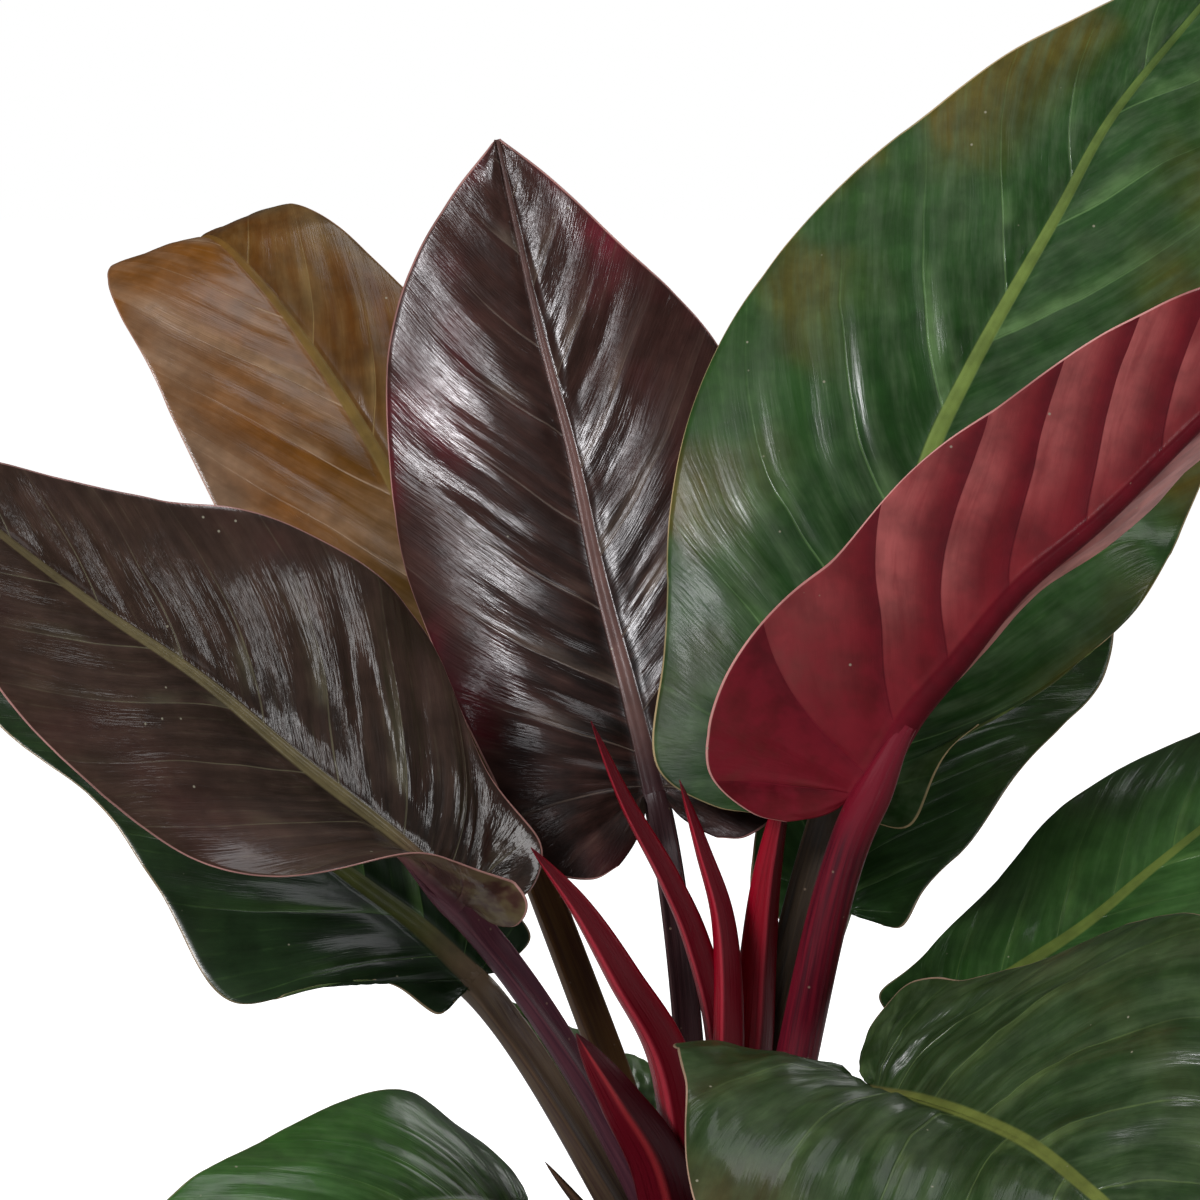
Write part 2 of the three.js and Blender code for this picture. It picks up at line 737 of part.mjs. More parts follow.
// The short stem, ringed by the scars of shed leaves, running down into the root ball.
function stemGeometry(grow = 0) {
  const profile = [[0, STEM.bottom - grow], [STEM.radius * STEM.tipShare + grow, STEM.bottom - grow]];
  for (let i = 0; i <= STEM.rings; i++) {
    const u = i / STEM.rings;
    const radius = mix(STEM.radius, STEM.topRadius, u) + (i % 2 ? STEM.scar : 0);
    profile.push([radius + grow, mix(STEM.bottom + STEM.taper, STEM.top - STEM.crown, u)]);
  }
  profile.push([STEM.topRadius * STEM.crownShare + grow, STEM.top + grow], [0, STEM.top + grow]);
  return lathe(profile, STEM.sides);
}

function lathe(profile, segments) {
  const geometry = new THREE.LatheGeometry(profile.map(([r, z]) => new THREE.Vector2(r, z)), segments);
  geometry.rotateX(Math.PI / 2);
  return geometry;
}

// The pot's radius outside at height z, below its rim band.
function potRadius(z) {
  return mix(POT.baseRadius, POT.rimRadius - POT.rimBandDepth, z / POT.height);
}

function potSolid() {
  const bandFoot = POT.height - POT.rimBandHeight;
  const lip = POT.height - POT_EDGE;
  const corner = POT.floor + POT_CORNER;
  const inside = (z) => potRadius(z) - POT.wall;
  const profile = [
    [0, 0],
    [POT.baseRadius - POT_EDGE, 0],
    [POT.baseRadius, POT_EDGE],
    [potRadius(bandFoot), bandFoot],
    [POT.rimRadius, bandFoot + POT_EDGE],
    [POT.rimRadius, lip],
    [POT.rimRadius - POT_EDGE, POT.height],
    [inside(POT.height) + POT_EDGE / 2, POT.height],
    [inside(lip), lip],
    [inside(corner), corner],
    [inside(corner) - POT_CORNER, POT.floor],
    [0, POT.floor],
  ];
  let pot = toSolid(lathe(profile, POT.segments));
  for (let k = 0; k < POT.drainHoles; k++) {
    const angle = 2 * Math.PI * (k + 0.5) / POT.drainHoles;
    const through = 4 * POT.floor;
    const hole = new THREE.CylinderGeometry(POT.drainRadius, POT.drainRadius, through, POT.drainSides);
    hole.rotateX(Math.PI / 2);
    hole.translate(POT.drainCircle * Math.cos(angle), POT.drainCircle * Math.sin(angle), 0);
    pot = pot.subtract(toSolid(hole));
  }
  return pot;
}

// How much higher or lower the soil's top is at a place, as crossed ripples.
function soilRipple(x, y) {
  return SOIL.ripples.reduce((sum, { height, along: waveX, across: waveY, begin }) =>
    sum + height * Math.sin(x * waveX + begin) * Math.cos(y * waveY + begin), 0);
}

// Soil fills the pot to its level, with an uneven heaped top.
function soilSolid() {
  const corner = POT.floor + POT_CORNER;
  const wallRadius = (z) => potRadius(z) - POT.wall - CLEARANCE;
  const profile = [
    [0, POT.floor + CLEARANCE],
    [wallRadius(corner) - POT_CORNER, POT.floor + CLEARANCE],
    [wallRadius(corner), corner + CLEARANCE],
    [wallRadius(SOIL.level), SOIL.level],
  ];
  for (const share of SOIL.rings) {
    profile.push([wallRadius(SOIL.level) * share, SOIL.level + SOIL.heap * (1 - share ** 2)]);
  }
  profile.push([0, SOIL.level + SOIL.heap]);
  const geometry = lathe(profile, POT.segments);
  const position = geometry.getAttribute('position');
  for (let k = 0; k < position.count; k++) {
    const z = position.getZ(k);
    if (z > SOIL.level + CLEARANCE) position.setZ(k, z + soilRipple(position.getX(k), position.getY(k)));
  }
  return toSolid(geometry);
}

// Assembly

const plant = new THREE.Group();

function add(name, solid, finish) {
  const mesh = new THREE.Mesh(toGeometry(solid), new THREE.MeshStandardMaterial(FINISHES[finish]));
  mesh.name = name;
  plant.add(mesh);
}

const stem = toSolid(stemGeometry());
const stemRoom = toSolid(stemGeometry(CLEARANCE));
const taken = [stemRoom]; // what later pieces are cut back from

// Youngest first, so that each foot clasps what is inside it.
for (const sheath of SHEATHS) {
  const solid = taken.reduce((left, cut) => left.subtract(cut), toSolid(sheathGeometry(sheath)));
  add(sheath.name, solid, sheath.name === 'sheath_6' ? 'dry' : 'sheath');
  taken.push(toSolid(sheathGeometry(sheath, CLEARANCE)));
}
for (const name of ORDER) {
  const leaf = LEAVES.find((one) => one.name === name);
  const spine = spineOf(leaf);
  const stalk = taken.reduce((left, cut) => left.subtract(cut), toSolid(stalkGeometry(leaf, spine)));
  add(`${leaf.name}_stalk`, stalk, 'stalk');
  const clear = toSolid(stalkGeometry(leaf, spine, CLEARANCE));
  taken.push(clear);
  add(`${leaf.name}_blade`, toSolid(bladeGeometry(leaf, spine)).subtract(clear), leaf.tone);
}
add('stem', stem, 'stem');
add('soil', soilSolid().subtract(stemRoom), 'soil');
add('pot', potSolid(), 'pot');

export default plant;
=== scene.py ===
"""The looks of a potted Imperial Red philodendron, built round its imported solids.

The leaf, stalk and sheath values are those of the part's source, in millimetres; meshes are in metres.
Only the very tips of blades and sheaths differ from the solids, by up to a millimetre.
"""

from dataclasses import dataclass, replace

import bpy
import numpy as np
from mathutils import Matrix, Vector


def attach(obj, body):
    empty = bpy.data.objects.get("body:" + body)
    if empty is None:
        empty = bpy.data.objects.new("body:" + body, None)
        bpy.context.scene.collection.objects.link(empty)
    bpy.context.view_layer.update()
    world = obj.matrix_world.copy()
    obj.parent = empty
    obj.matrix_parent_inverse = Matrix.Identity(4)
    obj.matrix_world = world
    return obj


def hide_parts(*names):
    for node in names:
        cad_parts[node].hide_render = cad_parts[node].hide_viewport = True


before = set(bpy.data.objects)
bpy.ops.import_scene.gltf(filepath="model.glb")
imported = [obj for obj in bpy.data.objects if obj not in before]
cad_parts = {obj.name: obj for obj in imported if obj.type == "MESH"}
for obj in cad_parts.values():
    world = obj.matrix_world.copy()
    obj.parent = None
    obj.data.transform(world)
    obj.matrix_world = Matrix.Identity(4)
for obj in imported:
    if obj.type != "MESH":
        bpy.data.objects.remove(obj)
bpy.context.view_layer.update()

MM = 0.001


@dataclass
class Stalk:
    """A stalk leaves the stem at azimuth, leaning out by lean, and is radius thick at its joint."""

    azimuth: float
    radius: float
    lean: float


@dataclass
class Half:
    """One half of a blade, with its lobe's reach behind the joint and its widths from there to the tip.

    fold and curl are in degrees, at even steps along the midrib. wave is the margin's height, number of
    waves and start.
    """

    lobe: float
    widths: list
    fold: list
    curl: list
    wave: tuple


@dataclass
class Leaf:
    """The spine runs from the joint to the tip, and face is the way the upper side looks at both."""

    name: str
    look: str
    stalk: Stalk
    spine: list
    face: list
    halves: list


LEAVES = [
    Leaf(
        "leaf_01", "dark", Stalk(azimuth=100, radius=5, lean=0.1),
        spine=[(-17, 32, 358), (-25, 48, 389), (-36, 66, 429), (-46, 84, 473), (-57, 100, 513),
               (-73, 122, 582)],
        face=[(-0.05, -1, 0.2), (-0.1, -1, 0.3)],
        halves=[Half(26, [54, 62, 69, 62, 44, 21], [16, 12, 6], [-14, -18, -8], (3, 1.5, 0.1)),
                Half(25, [54, 66, 68, 58, 33, 15], [18, 14, 8], [-14, -18, -8], (3, 1.5, 0.6))],
    ),
    Leaf(
        "leaf_02", "olive", Stalk(azimuth=140, radius=6, lean=0.35),
        spine=[(-67, 74, 349), (-85, 104, 395), (-100, 124, 429), (-115, 142, 461), (-145, 170, 505),
               (-168, 187, 532), (-181, 204, 542), (-190, 226, 540), (-196, 246, 526)],
        face=[(0.25, -1, 0.3), (-0.1, -0.5, 0.85)],
        halves=[Half(22, [46, 61, 64, 60, 49, 26], [12, 8, 8], [-8, -8, -4], (3, 1.5, 0.3)),
                Half(22, [42, 53, 55, 44, 35, 21], [12, 10, 6], [-10, -10, -10], (3, 1.5, 0.2))],
    ),
    Leaf(
        "leaf_03", "dark", Stalk(azimuth=200, radius=5.6, lean=0.3),
        spine=[(-83, -22, 329), (-103, -28, 350), (-136, -36, 379), (-169, -44, 409), (-201, -52, 433),
               (-233, -58, 459), (-274, -64, 494)],
        face=[(0.36, -0.82, 0.55), (0.3, -0.85, 0.5)],
        halves=[Half(14, [34, 62, 65, 52, 32, 14], [70, 30, 20, 15, 10], [50, 6, -12, -9, -6],
                     (3, 1.5, 0.4)),
                Half(16, [42, 72, 66, 43, 22, 9], [20, 18, 10], [-16, -16, -8], (6, 1.6, 0.55))],
    ),
    Leaf(
        "leaf_04", "green", Stalk(azimuth=176, radius=6, lean=0.65),
        spine=[(-79, 6, 297), (-98, 12, 314), (-116, 20, 326), (-147, 30, 347), (-183, 42, 370),
               (-226, 54, 391), (-269, 64, 408)],
        face=[(0.25, -0.75, 0.6), (0.3, -0.75, 0.6)],
        halves=[Half(0.5, [26, 67, 50, 34, 26, 14], [14, 12, 6], [-10, -14, -10], (2, 1.5, 0.2)),
                Half(4, [30, 48, 50, 42, 26, 12], [14, 12, 6], [-10, -14, -10], (3, 1.5, 0.2))],
    ),
    Leaf(
        "leaf_05", "green", Stalk(azimuth=226, radius=5, lean=1),
        spine=[(-60, -50, 226), (-78, -78, 238), (-100, -104, 243), (-126, -130, 240), (-154, -152, 230),
               (-184, -166, 212)],
        face=[(0.1, -0.6, 0.8), (0, -0.7, 0.7)],
        halves=[Half(20, [40, 46, 46, 38, 24, 10], [12, 10, 4], [-14, -16, -10], (3, 1.5, 0.2)),
                Half(12, [53, 52, 47, 42, 34, 17], [18, 14, 6], [-16, -14, -10], (4, 1.5, 0))],
    ),
    Leaf(
        "leaf_06", "forest", Stalk(azimuth=55, radius=6, lean=0.4),
        spine=[(44, 6, 363), (62, 20, 414), (77, 40, 472), (93, 50, 505), (125, 68, 559), (143, 78, 590),
               (174, 92, 627), (195, 102, 650)],
        face=[(-0.1, -1, 0.25), (-0.15, -0.95, 0.35)],
        halves=[Half(18, [72, 84, 83, 64, 33, 15], [16, 10, 6], [-18, -14, -8], (4, 1.5, 0.85)),
                Half(6, [34, 84, 90, 76, 46, 22], [14, 8, 6], [-18, -14, -10], (6, 1.6, 0.1))],
    ),
    Leaf(
        "leaf_07", "green", Stalk(azimuth=80, radius=4, lean=0.2),
        spine=[(49, 52, 313), (60, 70, 342), (79, 92, 370), (106, 116, 397), (150, 142, 427)],
        face=[(-0.1, -0.9, 0.4), (0, -0.8, 0.6)],
        halves=[Half(10, [36, 40, 40, 34, 22, 10], [12, 8, 4], [-12, -12, -8], (3, 1.5, 0.2)),
                Half(1, [26, 36, 38, 38, 34, 18], [12, 8, 4], [-12, -12, -8], (4, 1.5, 0.6))],
    ),
    Leaf(
        "leaf_08", "red", Stalk(azimuth=-30, radius=7, lean=0.7),
        spine=[(53, -30, 365), (67, -38, 394), (83, -44, 415), (102, -52, 440), (128, -60, 464),
               (159, -70, 497), (186, -78, 524), (215, -86, 547)],
        face=[(-0.1, 1, 0.1), (-0.1, 1, 0.1)],
        halves=[Half(12, [34, 46, 50, 42, 28, 12], [66, 60, 44], [4, 4, 8], (2, 1.5, 0.2)),
                Half(20, [62, 54, 52, 46, 31, 13], [8, 10, 10], [-4, -6, 0], (4, 1.5, 0.7))],
    ),
    Leaf(
        "leaf_09", "green", Stalk(azimuth=4, radius=5, lean=0.9),
        spine=[(77, -6, 282), (105, 4, 299), (132, 14, 315), (155, 24, 332), (180, 34, 350),
               (213, 44, 373), (238, 50, 389)],
        face=[(-0.35, -0.6, 0.7), (-0.3, -0.6, 0.7)],
        halves=[Half(7, [28, 41, 45, 42, 31, 14], [14, 12, 6], [-12, -14, -8], (5, 1.6, 0.45)),
                Half(18, [38, 46, 48, 42, 28, 12], [18, 14, 6], [-12, -14, -8], (4, 1.5, 0.4))],
    ),
    Leaf(
        "leaf_10", "moss", Stalk(azimuth=-48, radius=6, lean=0.8),
        spine=[(53, -52, 269), (69, -80, 273), (85, -108, 274), (101, -136, 272), (114, -160, 266),
               (127, -182, 257), (140, -208, 240), (150, -226, 218), (157, -234, 195)],
        face=[(-0.25, -0.35, 0.9), (-0.1, -0.5, 0.8)],
        halves=[Half(20, [52, 80, 90, 78, 46, 18], [32, 36, 8], [-12, -14, -10], (9, 1.7, 0.5)),
                Half(24, [82, 104, 96, 74, 44, 18], [62, 6, 2], [-26, -14, -10], (4, 1.5, 0.1))],
    ),
    Leaf(
        "leaf_11", "moss", Stalk(azimuth=112, radius=4.6, lean=1),
        spine=[(-4, 44, 222), (-21, 86, 230), (-40, 124, 238), (-57, 160, 244), (-74, 192, 252)],
        face=[(0.2, -0.5, 0.8), (0.2, -0.3, 1)],
        halves=[Half(8, [18, 22, 24, 20, 12, 6], [12, 10, 4], [-14, -16, -8], (2, 1.5, 0.2)),
                Half(14, [28, 34, 34, 28, 18, 8], [12, 10, 4], [-14, -16, -8], (3, 1.5, 0.6))],
    ),
    Leaf(
        "leaf_12", "green", Stalk(azimuth=66, radius=4.6, lean=1.2),
        spine=[(40, 84, 214), (60, 122, 222), (82, 170, 214), (102, 216, 190), (116, 250, 158)],
        face=[(0, 0.1, 1), (0.2, 0.5, 0.85)],
        halves=[Half(18, [44, 52, 54, 44, 28, 12], [12, 10, 4], [-14, -16, -8], (3, 1.5, 0.2)),
                Half(18, [44, 52, 54, 44, 28, 12], [12, 10, 4], [-14, -16, -8], (3, 1.5, 0.6))],
    ),
    Leaf(
        "leaf_13", "green", Stalk(azimuth=262, radius=4.6, lean=1.2),
        spine=[(-10, -96, 202), (-22, -130, 200), (-38, -170, 182), (-52, -204, 152), (-60, -226, 116)],
        face=[(0, -0.2, 1), (-0.2, -0.8, 0.5)],
        halves=[Half(16, [40, 48, 50, 42, 26, 12], [12, 10, 4], [-14, -16, -8], (3, 1.5, 0.2)),
                Half(16, [40, 48, 50, 42, 26, 12], [12, 10, 4], [-14, -16, -8], (3, 1.5, 0.6))],
    ),
]

# The leaves from the youngest and innermost to the oldest.
ORDER = (8, 1, 6, 3, 2, 7, 4, 9, 10, 5, 11, 12, 13)


@dataclass
class Sheath:
    """A pointed scale round new growth: path, half-width, half-depth and the way its open side looks."""

    name: str
    path: list
    width: float
    depth: float
    open: tuple


SHEATHS = [
    Sheath("sheath_1",
           [(2, 0, 190), (6, -4, 275), (-3, -6, 314), (-12, -8, 335), (-27, -12, 363), (-39, -18, 391)],
           7, 4.6, (0.6, 0.6, 0.2)),
    Sheath("sheath_2", [(3, -2, 190), (8, -10, 276), (6, -12, 322), (-1, -12, 346), (-9, -12, 370)],
           6.6, 4.6, (0.5, 0.8, 0.1)),
    Sheath("sheath_3", [(4, 2, 190), (16, 2, 274), (18, 1, 305), (21, -3, 336), (29, -10, 378)],
           8.2, 5.5, (-0.3, 0.9, 0)),
    Sheath("sheath_4", [(-2, -8, 190), (-12, -26, 276), (-28, -34, 307), (-43, -38, 332), (-59, -42, 352)],
           10, 6, (0.5, 0.7, 0.4)),
    Sheath("sheath_5", [(-6, -8, 188), (-16, -26, 240), (-29, -34, 264), (-44, -38, 288)],
           11, 5.5, (0.1, 1, 0)),
    Sheath("sheath_6", [(-8, -6, 184), (-26, -8, 204), (-42, -9, 222), (-55, -8, 237)],
           5, 3, (0.6, 0, 0.8)),
]

# Blade form, as in the part apart from a narrower tip

LOBE = ((0.9, 0.34), (1, 0.52), (0.62, 0.84))
BULGE_BACK = 0.08
BULGE_INWARD = 0.06
BULGE_FADE = 0.2
STATIONS = (0.08, 0.25, 0.45, 0.65, 0.82, 0.93)
TIP_WIDTH = 1.0
RIB_AT_JOINT = 0.8
RIB_AT_TIP = 0.16
RIB_TAPER = 0.7
RIB_SHARE = 0.8
THICKNESS = 0.8

# How the finer blade is divided, and its relief

ROWS = 225
RIB_COLUMNS = np.array([0.3, 0.6, 0.85, 1.0])
BLADE_COLUMNS = 1 - (1 - np.linspace(0, 1, 23)[1:]) ** 1.15
VEIN_LAG = 2.6
VEIN_START = 0.04
VEIN_CLIMB = 0.7
SIDE_VEINS = 7
LOBE_VEINS = 2.2
VEIN_SHIFT = 0.37
RIM = 0.3
MARGIN_THIN = 0.55
CREASE = 0.25
RIB_BELOW = 0.9
# Near the joint and further on
RIB_ABOVE = (0.5, 0.22)
RIPPLE_LOSS = 0.75
GROOVE_WIDTH = 0.05
EDGE_WAVE = 0.7
# Waves a vein, how far they are drawn out, and their height
RIPPLES = ((1.1, 1.3, 1.0), (2.3, 1.5, 1.0), (4.4, 2.0, 0.5))
RIPPLE_FADE = 0.4
RELIEF_SHIFT = 20
# The right half's veins are counted from 31, and those of the left half stay below 20.
RIGHT_VEINS = 31
HALVES_PART = 20

# Curves and surfaces


def unit(v):
    return v / np.linalg.norm(v, axis=-1, keepdims=True)


def mix(a, b, t):
    return a + (b - a) * t


def smoothstep(low, high, x):
    t = np.clip((x - low) / (high - low), 0, 1)
    return t * t * (3 - 2 * t)


def catmull_rom(points, per_span=60):
    """Points along the centripetal Catmull-Rom curve through the given ones."""
    p = np.array(points, float)
    p = np.vstack([2 * p[0] - p[1], p, 2 * p[-1] - p[-2]])
    t = np.linspace(0, 1, per_span, endpoint=False)[:, None]
    spans = []
    for a, b, c, d in zip(p, p[1:], p[2:], p[3:]):
        d0, d1, d2 = (np.linalg.norm(step) ** 0.5 for step in (b - a, c - b, d - c))
        m1 = ((b - a) / d0 - (c - a) / (d0 + d1) + (c - b) / d1) * d1
        m2 = ((c - b) / d1 - (d - b) / (d1 + d2) + (d - c) / d2) * d1
        spans.append(b + m1 * t + (3 * (c - b) - 2 * m1 - m2) * t**2 + (2 * (b - c) + m1 + m2) * t**3)
    return np.vstack([*spans, p[-2]])


class Course:
    """A curve read by the share of its length."""

    def __init__(self, points):
        self.points = np.asarray(points, float)
        steps = np.linalg.norm(np.diff(self.points, axis=0), axis=1)
        self.reach = np.concatenate([[0], np.cumsum(steps)])
        self.length = self.reach[-1]
        self.slopes = unit(np.gradient(self.points, self.reach, axis=0))

    def read(self, table, share):
        reach = np.clip(share, 0, 1) * self.length
        return np.stack([np.interp(reach, self.reach, column) for column in table.T], -1)

    def at(self, share):
        return self.read(self.points, share)

    def tangent(self, share):
        return unit(self.read(self.slopes, share))


def along(values, u):
    """Evenly spaced values, joined smoothly."""
    v = np.array(values, float)
    slopes = np.gradient(v)
    at = np.clip(u, 0, 1) * (len(v) - 1)
    i = np.minimum(at.astype(int), len(v) - 2)
    f = at - i
    rise = v[i + 1] - v[i]
    return (v[i] + slopes[i] * f + (3 * rise - 2 * slopes[i] - slopes[i + 1]) * f**2
            + (slopes[i] + slopes[i + 1] - 2 * rise) * f**3)


class Spine:
    """A leaf's midrib; behind the joint it runs on straight."""

    def __init__(self, leaf):
        self.course = Course(catmull_rom(leaf.spine))
        self.length = self.course.length
        self.faces = np.array(leaf.face, float)

    def axes(self, x):
        """The point at distance x from the joint, with the ways along, up and right there."""
        u = np.clip(x / self.length, 0, 1)
        tangent = self.course.tangent(u)
        point = self.course.at(u) + tangent * np.minimum(x, 0)[..., None]
        face = mix(self.faces[0], self.faces[1], u[..., None])
        up = unit(face - tangent * np.sum(face * tangent, -1, keepdims=True))
        return point, tangent, up, np.cross(tangent, up)


def rib_width(leaf, spine, x):
    """Half the midrib's width."""
    u = np.clip(x / spine.length, 0, 1)
    return leaf.stalk.radius * mix(RIB_AT_JOINT, RIB_AT_TIP, u**RIB_TAPER)


def margin_of(spine, half):
    points = [(-back * half.lobe, out * half.widths[0]) for back, out in LOBE]
    points += [(share * spine.length, width) for share, width in zip(STATIONS, half.widths)]
    points.append((spine.length, TIP_WIDTH))
    return Course(catmull_rom(points))


def lifted(leaf, spine, side, x, y):
    """Where a point of the flat leaf, x along the midrib and y out from it, lies in space."""
    half = leaf.halves[side]
    u = x / spine.length
    share = y / max(half.widths)
    fold = np.radians(along(half.fold, u))
    turn = np.radians(along(half.curl, u)) * 2 * share
    turn = np.where(np.abs(turn) < 1e-4, 1e-4, turn)
    across = y * (np.sin(fold + turn) - np.sin(fold)) / turn
    lift = y * (np.cos(fold) - np.cos(fold + turn)) / turn
    swing, waves, begin = half.wave
    lift = lift + swing * share**2 * np.sin(2 * np.pi * (waves * u + begin))
    point, _, up, right = spine.axes(x)
    sign = -1 if side == 0 else 1
    return point + right * (sign * across)[..., None] + up * lift[..., None]


def half_grid(leaf, spine, side):
    """One half as rows along the side veins and columns out to the margin, without the midrib's line."""
    half = leaf.halves[side]
    t = np.linspace(0, 1, ROWS + 1)[:, None]
    out = margin_of(spine, half).at(t[:, 0])
    foot = spine.length * mix(t**VEIN_LAG, t, VEIN_START)
    rib = np.minimum(rib_width(leaf, spine, foot), RIB_SHARE * out[:, 1:])
    q = BLADE_COLUMNS
    bulge = 4 * q * (1 - q) * np.clip(1 - t / BULGE_FADE, 0, 1) ** 2
    x = foot + (out[:, :1] - foot) * mix(q**2, q, VEIN_CLIMB) - bulge * BULGE_BACK * half.lobe
    y = mix(rib, out[:, 1:], q) - bulge * BULGE_INWARD * half.widths[0]
    x = np.hstack([np.broadcast_to(foot, (ROWS + 1, len(RIB_COLUMNS))), x])
    y = np.hstack([rib * RIB_COLUMNS, y])
    vein = SIDE_VEINS * t**VEIN_LAG + LOBE_VEINS * (1 - (1 - t) ** 3) + VEIN_SHIFT * side
    return {
        "points": lifted(leaf, spine, side, x, y),
        "across": np.broadcast_to(np.concatenate([0 * RIB_COLUMNS, q]), x.shape),
        "vein": np.broadcast_to(vein, x.shape),
        "rib": y / rib,
        "run": x / spine.length,
    }


def full_grid(leaf, spine):
    """Both halves and the midrib's line between them, as one grid from left to right."""
    left, right = half_grid(leaf, spine, 0), half_grid(leaf, spine, 1)
    t = np.linspace(0, 1, ROWS + 1)
    foot = spine.length * mix(t**VEIN_LAG, t, VEIN_START)
    middle = {
        "points": spine.axes(foot)[0][:, None],
        "across": np.zeros((ROWS + 1, 1)),
        "vein": (left["vein"][:, :1] + right["vein"][:, :1]) / 2,
        "rib": np.zeros((ROWS + 1, 1)),
        "run": (foot / spine.length)[:, None],
    }
    grid = {key: np.concatenate([left[key][:, ::-1], middle[key], right[key]], axis=1) for key in left}
    centre = left["across"].shape[1]
    side = np.ones(grid["across"].shape)
    side[:, :centre] = 0
    grid["side"] = side
    return grid


def grid_normals(points):
    along_rows = np.gradient(points, axis=0)
    over_rows = np.gradient(points, axis=1)
    return unit(np.cross(over_rows, along_rows))


class Bumps:
    """Smooth random values between -1 and 1 over a plane."""

    def __init__(self, rng, size=64):
        self.size = size
        self.table = rng.uniform(-1, 1, (size, size))

    def corner(self, i, j):
        return self.table[i % self.size, j % self.size]

    def at(self, x, y):
        i, j = np.floor(x).astype(int), np.floor(y).astype(int)
        f, g = smoothstep(0, 1, x - i), smoothstep(0, 1, y - j)
        near = mix(self.corner(i, j), self.corner(i + 1, j), f)
        far = mix(self.corner(i, j + 1), self.corner(i + 1, j + 1), f)
        return mix(near, far, g)


def relief(grid, look, seed):
    """How far the blade stands out between its side veins, in millimetres."""
    bumps = Bumps(np.random.default_rng(seed))
    vein, across, run = grid["vein"], grid["across"], grid["run"]
    place = vein + RELIEF_SHIFT * grid["side"]
    off = np.abs(vein - np.round(vein))
    ripple = 0
    for rate, stretch, size in RIPPLES:
        ripple = ripple + size * bumps.at(place * rate, across * stretch + 7 * rate)
    near = smoothstep(0.0, 0.14, across) * (1 - 0.8 * smoothstep(0.35, 0.95, across))
    calm = 1 - RIPPLE_LOSS * smoothstep(look.ripple_until, look.ripple_until + RIPPLE_FADE, run)
    calm = calm * mix(look.left_ripple, 1, grid["side"])
    panel = (1 - (2 * off) ** 2) * look.panel
    groove = np.exp(-((off / GROOVE_WIDTH) ** 2)) * look.groove
    rim = smoothstep(0.7, 1, across) * EDGE_WAVE * bumps.at(place * 1.7, 40 + 0 * across)
    crinkle = bumps.at(place * 2.7 + 9, across * 6) + 0.5 * bumps.at(place * 6.1, across * 13 + 3)
    crinkle = crinkle * look.crinkle * smoothstep(0, 0.2, across) * (1 - 0.6 * smoothstep(0.2, 0.9, run))
    return near * (panel - groove + ripple * look.ripple * calm) + crinkle + rim


# Meshes


def add_object(name, data):
    made = bpy.data.objects.new(name, data)
    bpy.context.scene.collection.objects.link(made)
    return made


def make_object(name, points, faces, values=()):
    """A smooth mesh object from points in millimetres, with a number for each point under each name."""
    mesh = bpy.data.meshes.new(name)
    mesh.from_pydata((np.asarray(points) * MM).tolist(), [], faces)
    for key, numbers in dict(values).items():
        layer = mesh.attributes.new(key, "FLOAT", "POINT")
        layer.data.foreach_set("value", np.asarray(numbers, np.float32).ravel())
    mesh.shade_smooth()
    mesh.update()
    return add_object(name, mesh)


def quads(ids):
    """The faces between neighbours in a grid of point numbers."""
    corners = ids[:-1, :-1], ids[:-1, 1:], ids[1:, 1:], ids[1:, :-1]
    return np.stack(corners, -1).reshape(-1, 4)


def closed_rings(rows, columns):
    """A grid of point numbers whose first column comes again at the end."""
    ids = np.arange(rows * columns).reshape(rows, columns)
    return np.hstack([ids, ids[:, :1]])


def tube_faces(rows, columns):
    """The faces of a closed tube, with its two ends capped."""
    ids = closed_rings(rows, columns)
    return quads(ids).tolist() + [ids[0, -2::-1].tolist(), ids[-1, :-1].tolist()]


def pointed_faces(ids, low, high):
    """The faces over closed rings, with a fan to one point at each end."""
    first, last = ids[0].tolist(), ids[-1].tolist()
    fans = [[low, b, a] for a, b in zip(first, first[1:])]
    fans += [[high, a, b] for a, b in zip(last, last[1:])]
    return quads(ids).tolist() + fans


def tube_object(name, rings, **values):
    """A closed tube over rings of points, with values given for each ring, each side or each point."""
    shape = rings.shape[:2]
    values = {key: np.broadcast_to(table, shape) for key, table in values.items()}
    return make_object(name, rings.reshape(-1, 3), tube_faces(*shape), values)


def circle(sides):
    return 2 * np.pi * np.arange(sides) / sides


def ringed(radius, angle, height):
    """Points round the upright axis."""
    x, y = radius * np.cos(angle), radius * np.sin(angle)
    return np.stack([x, y, height + 0 * x], -1)


def border(rows, columns):
    """The grid's border as row and column numbers, with the neighbour inside of each."""
    last_row, last_column = rows - 1, columns - 1
    ring = [(0, j, 1, j) for j in range(columns)]
    ring += [(i, last_column, i, last_column - 1) for i in range(1, rows)]
    ring += [(last_row, j, last_row - 1, j) for j in range(last_column - 1, -1, -1)]
    ring += [(i, 0, i, 1) for i in range(last_row - 1, 0, -1)]
    return np.array(ring).T


def margin_distance(middle):
    """How far each point of a blade's grid lies from the margin, along its row."""
    steps = np.linalg.norm(np.diff(middle, axis=1), axis=2)
    from_left = np.concatenate([np.zeros((len(middle), 1)), np.cumsum(steps, axis=1)], axis=1)
    columns = from_left.shape[1]
    return np.where(np.arange(columns) <= (columns - 1) // 2, from_left, from_left[:, -1:] - from_left)


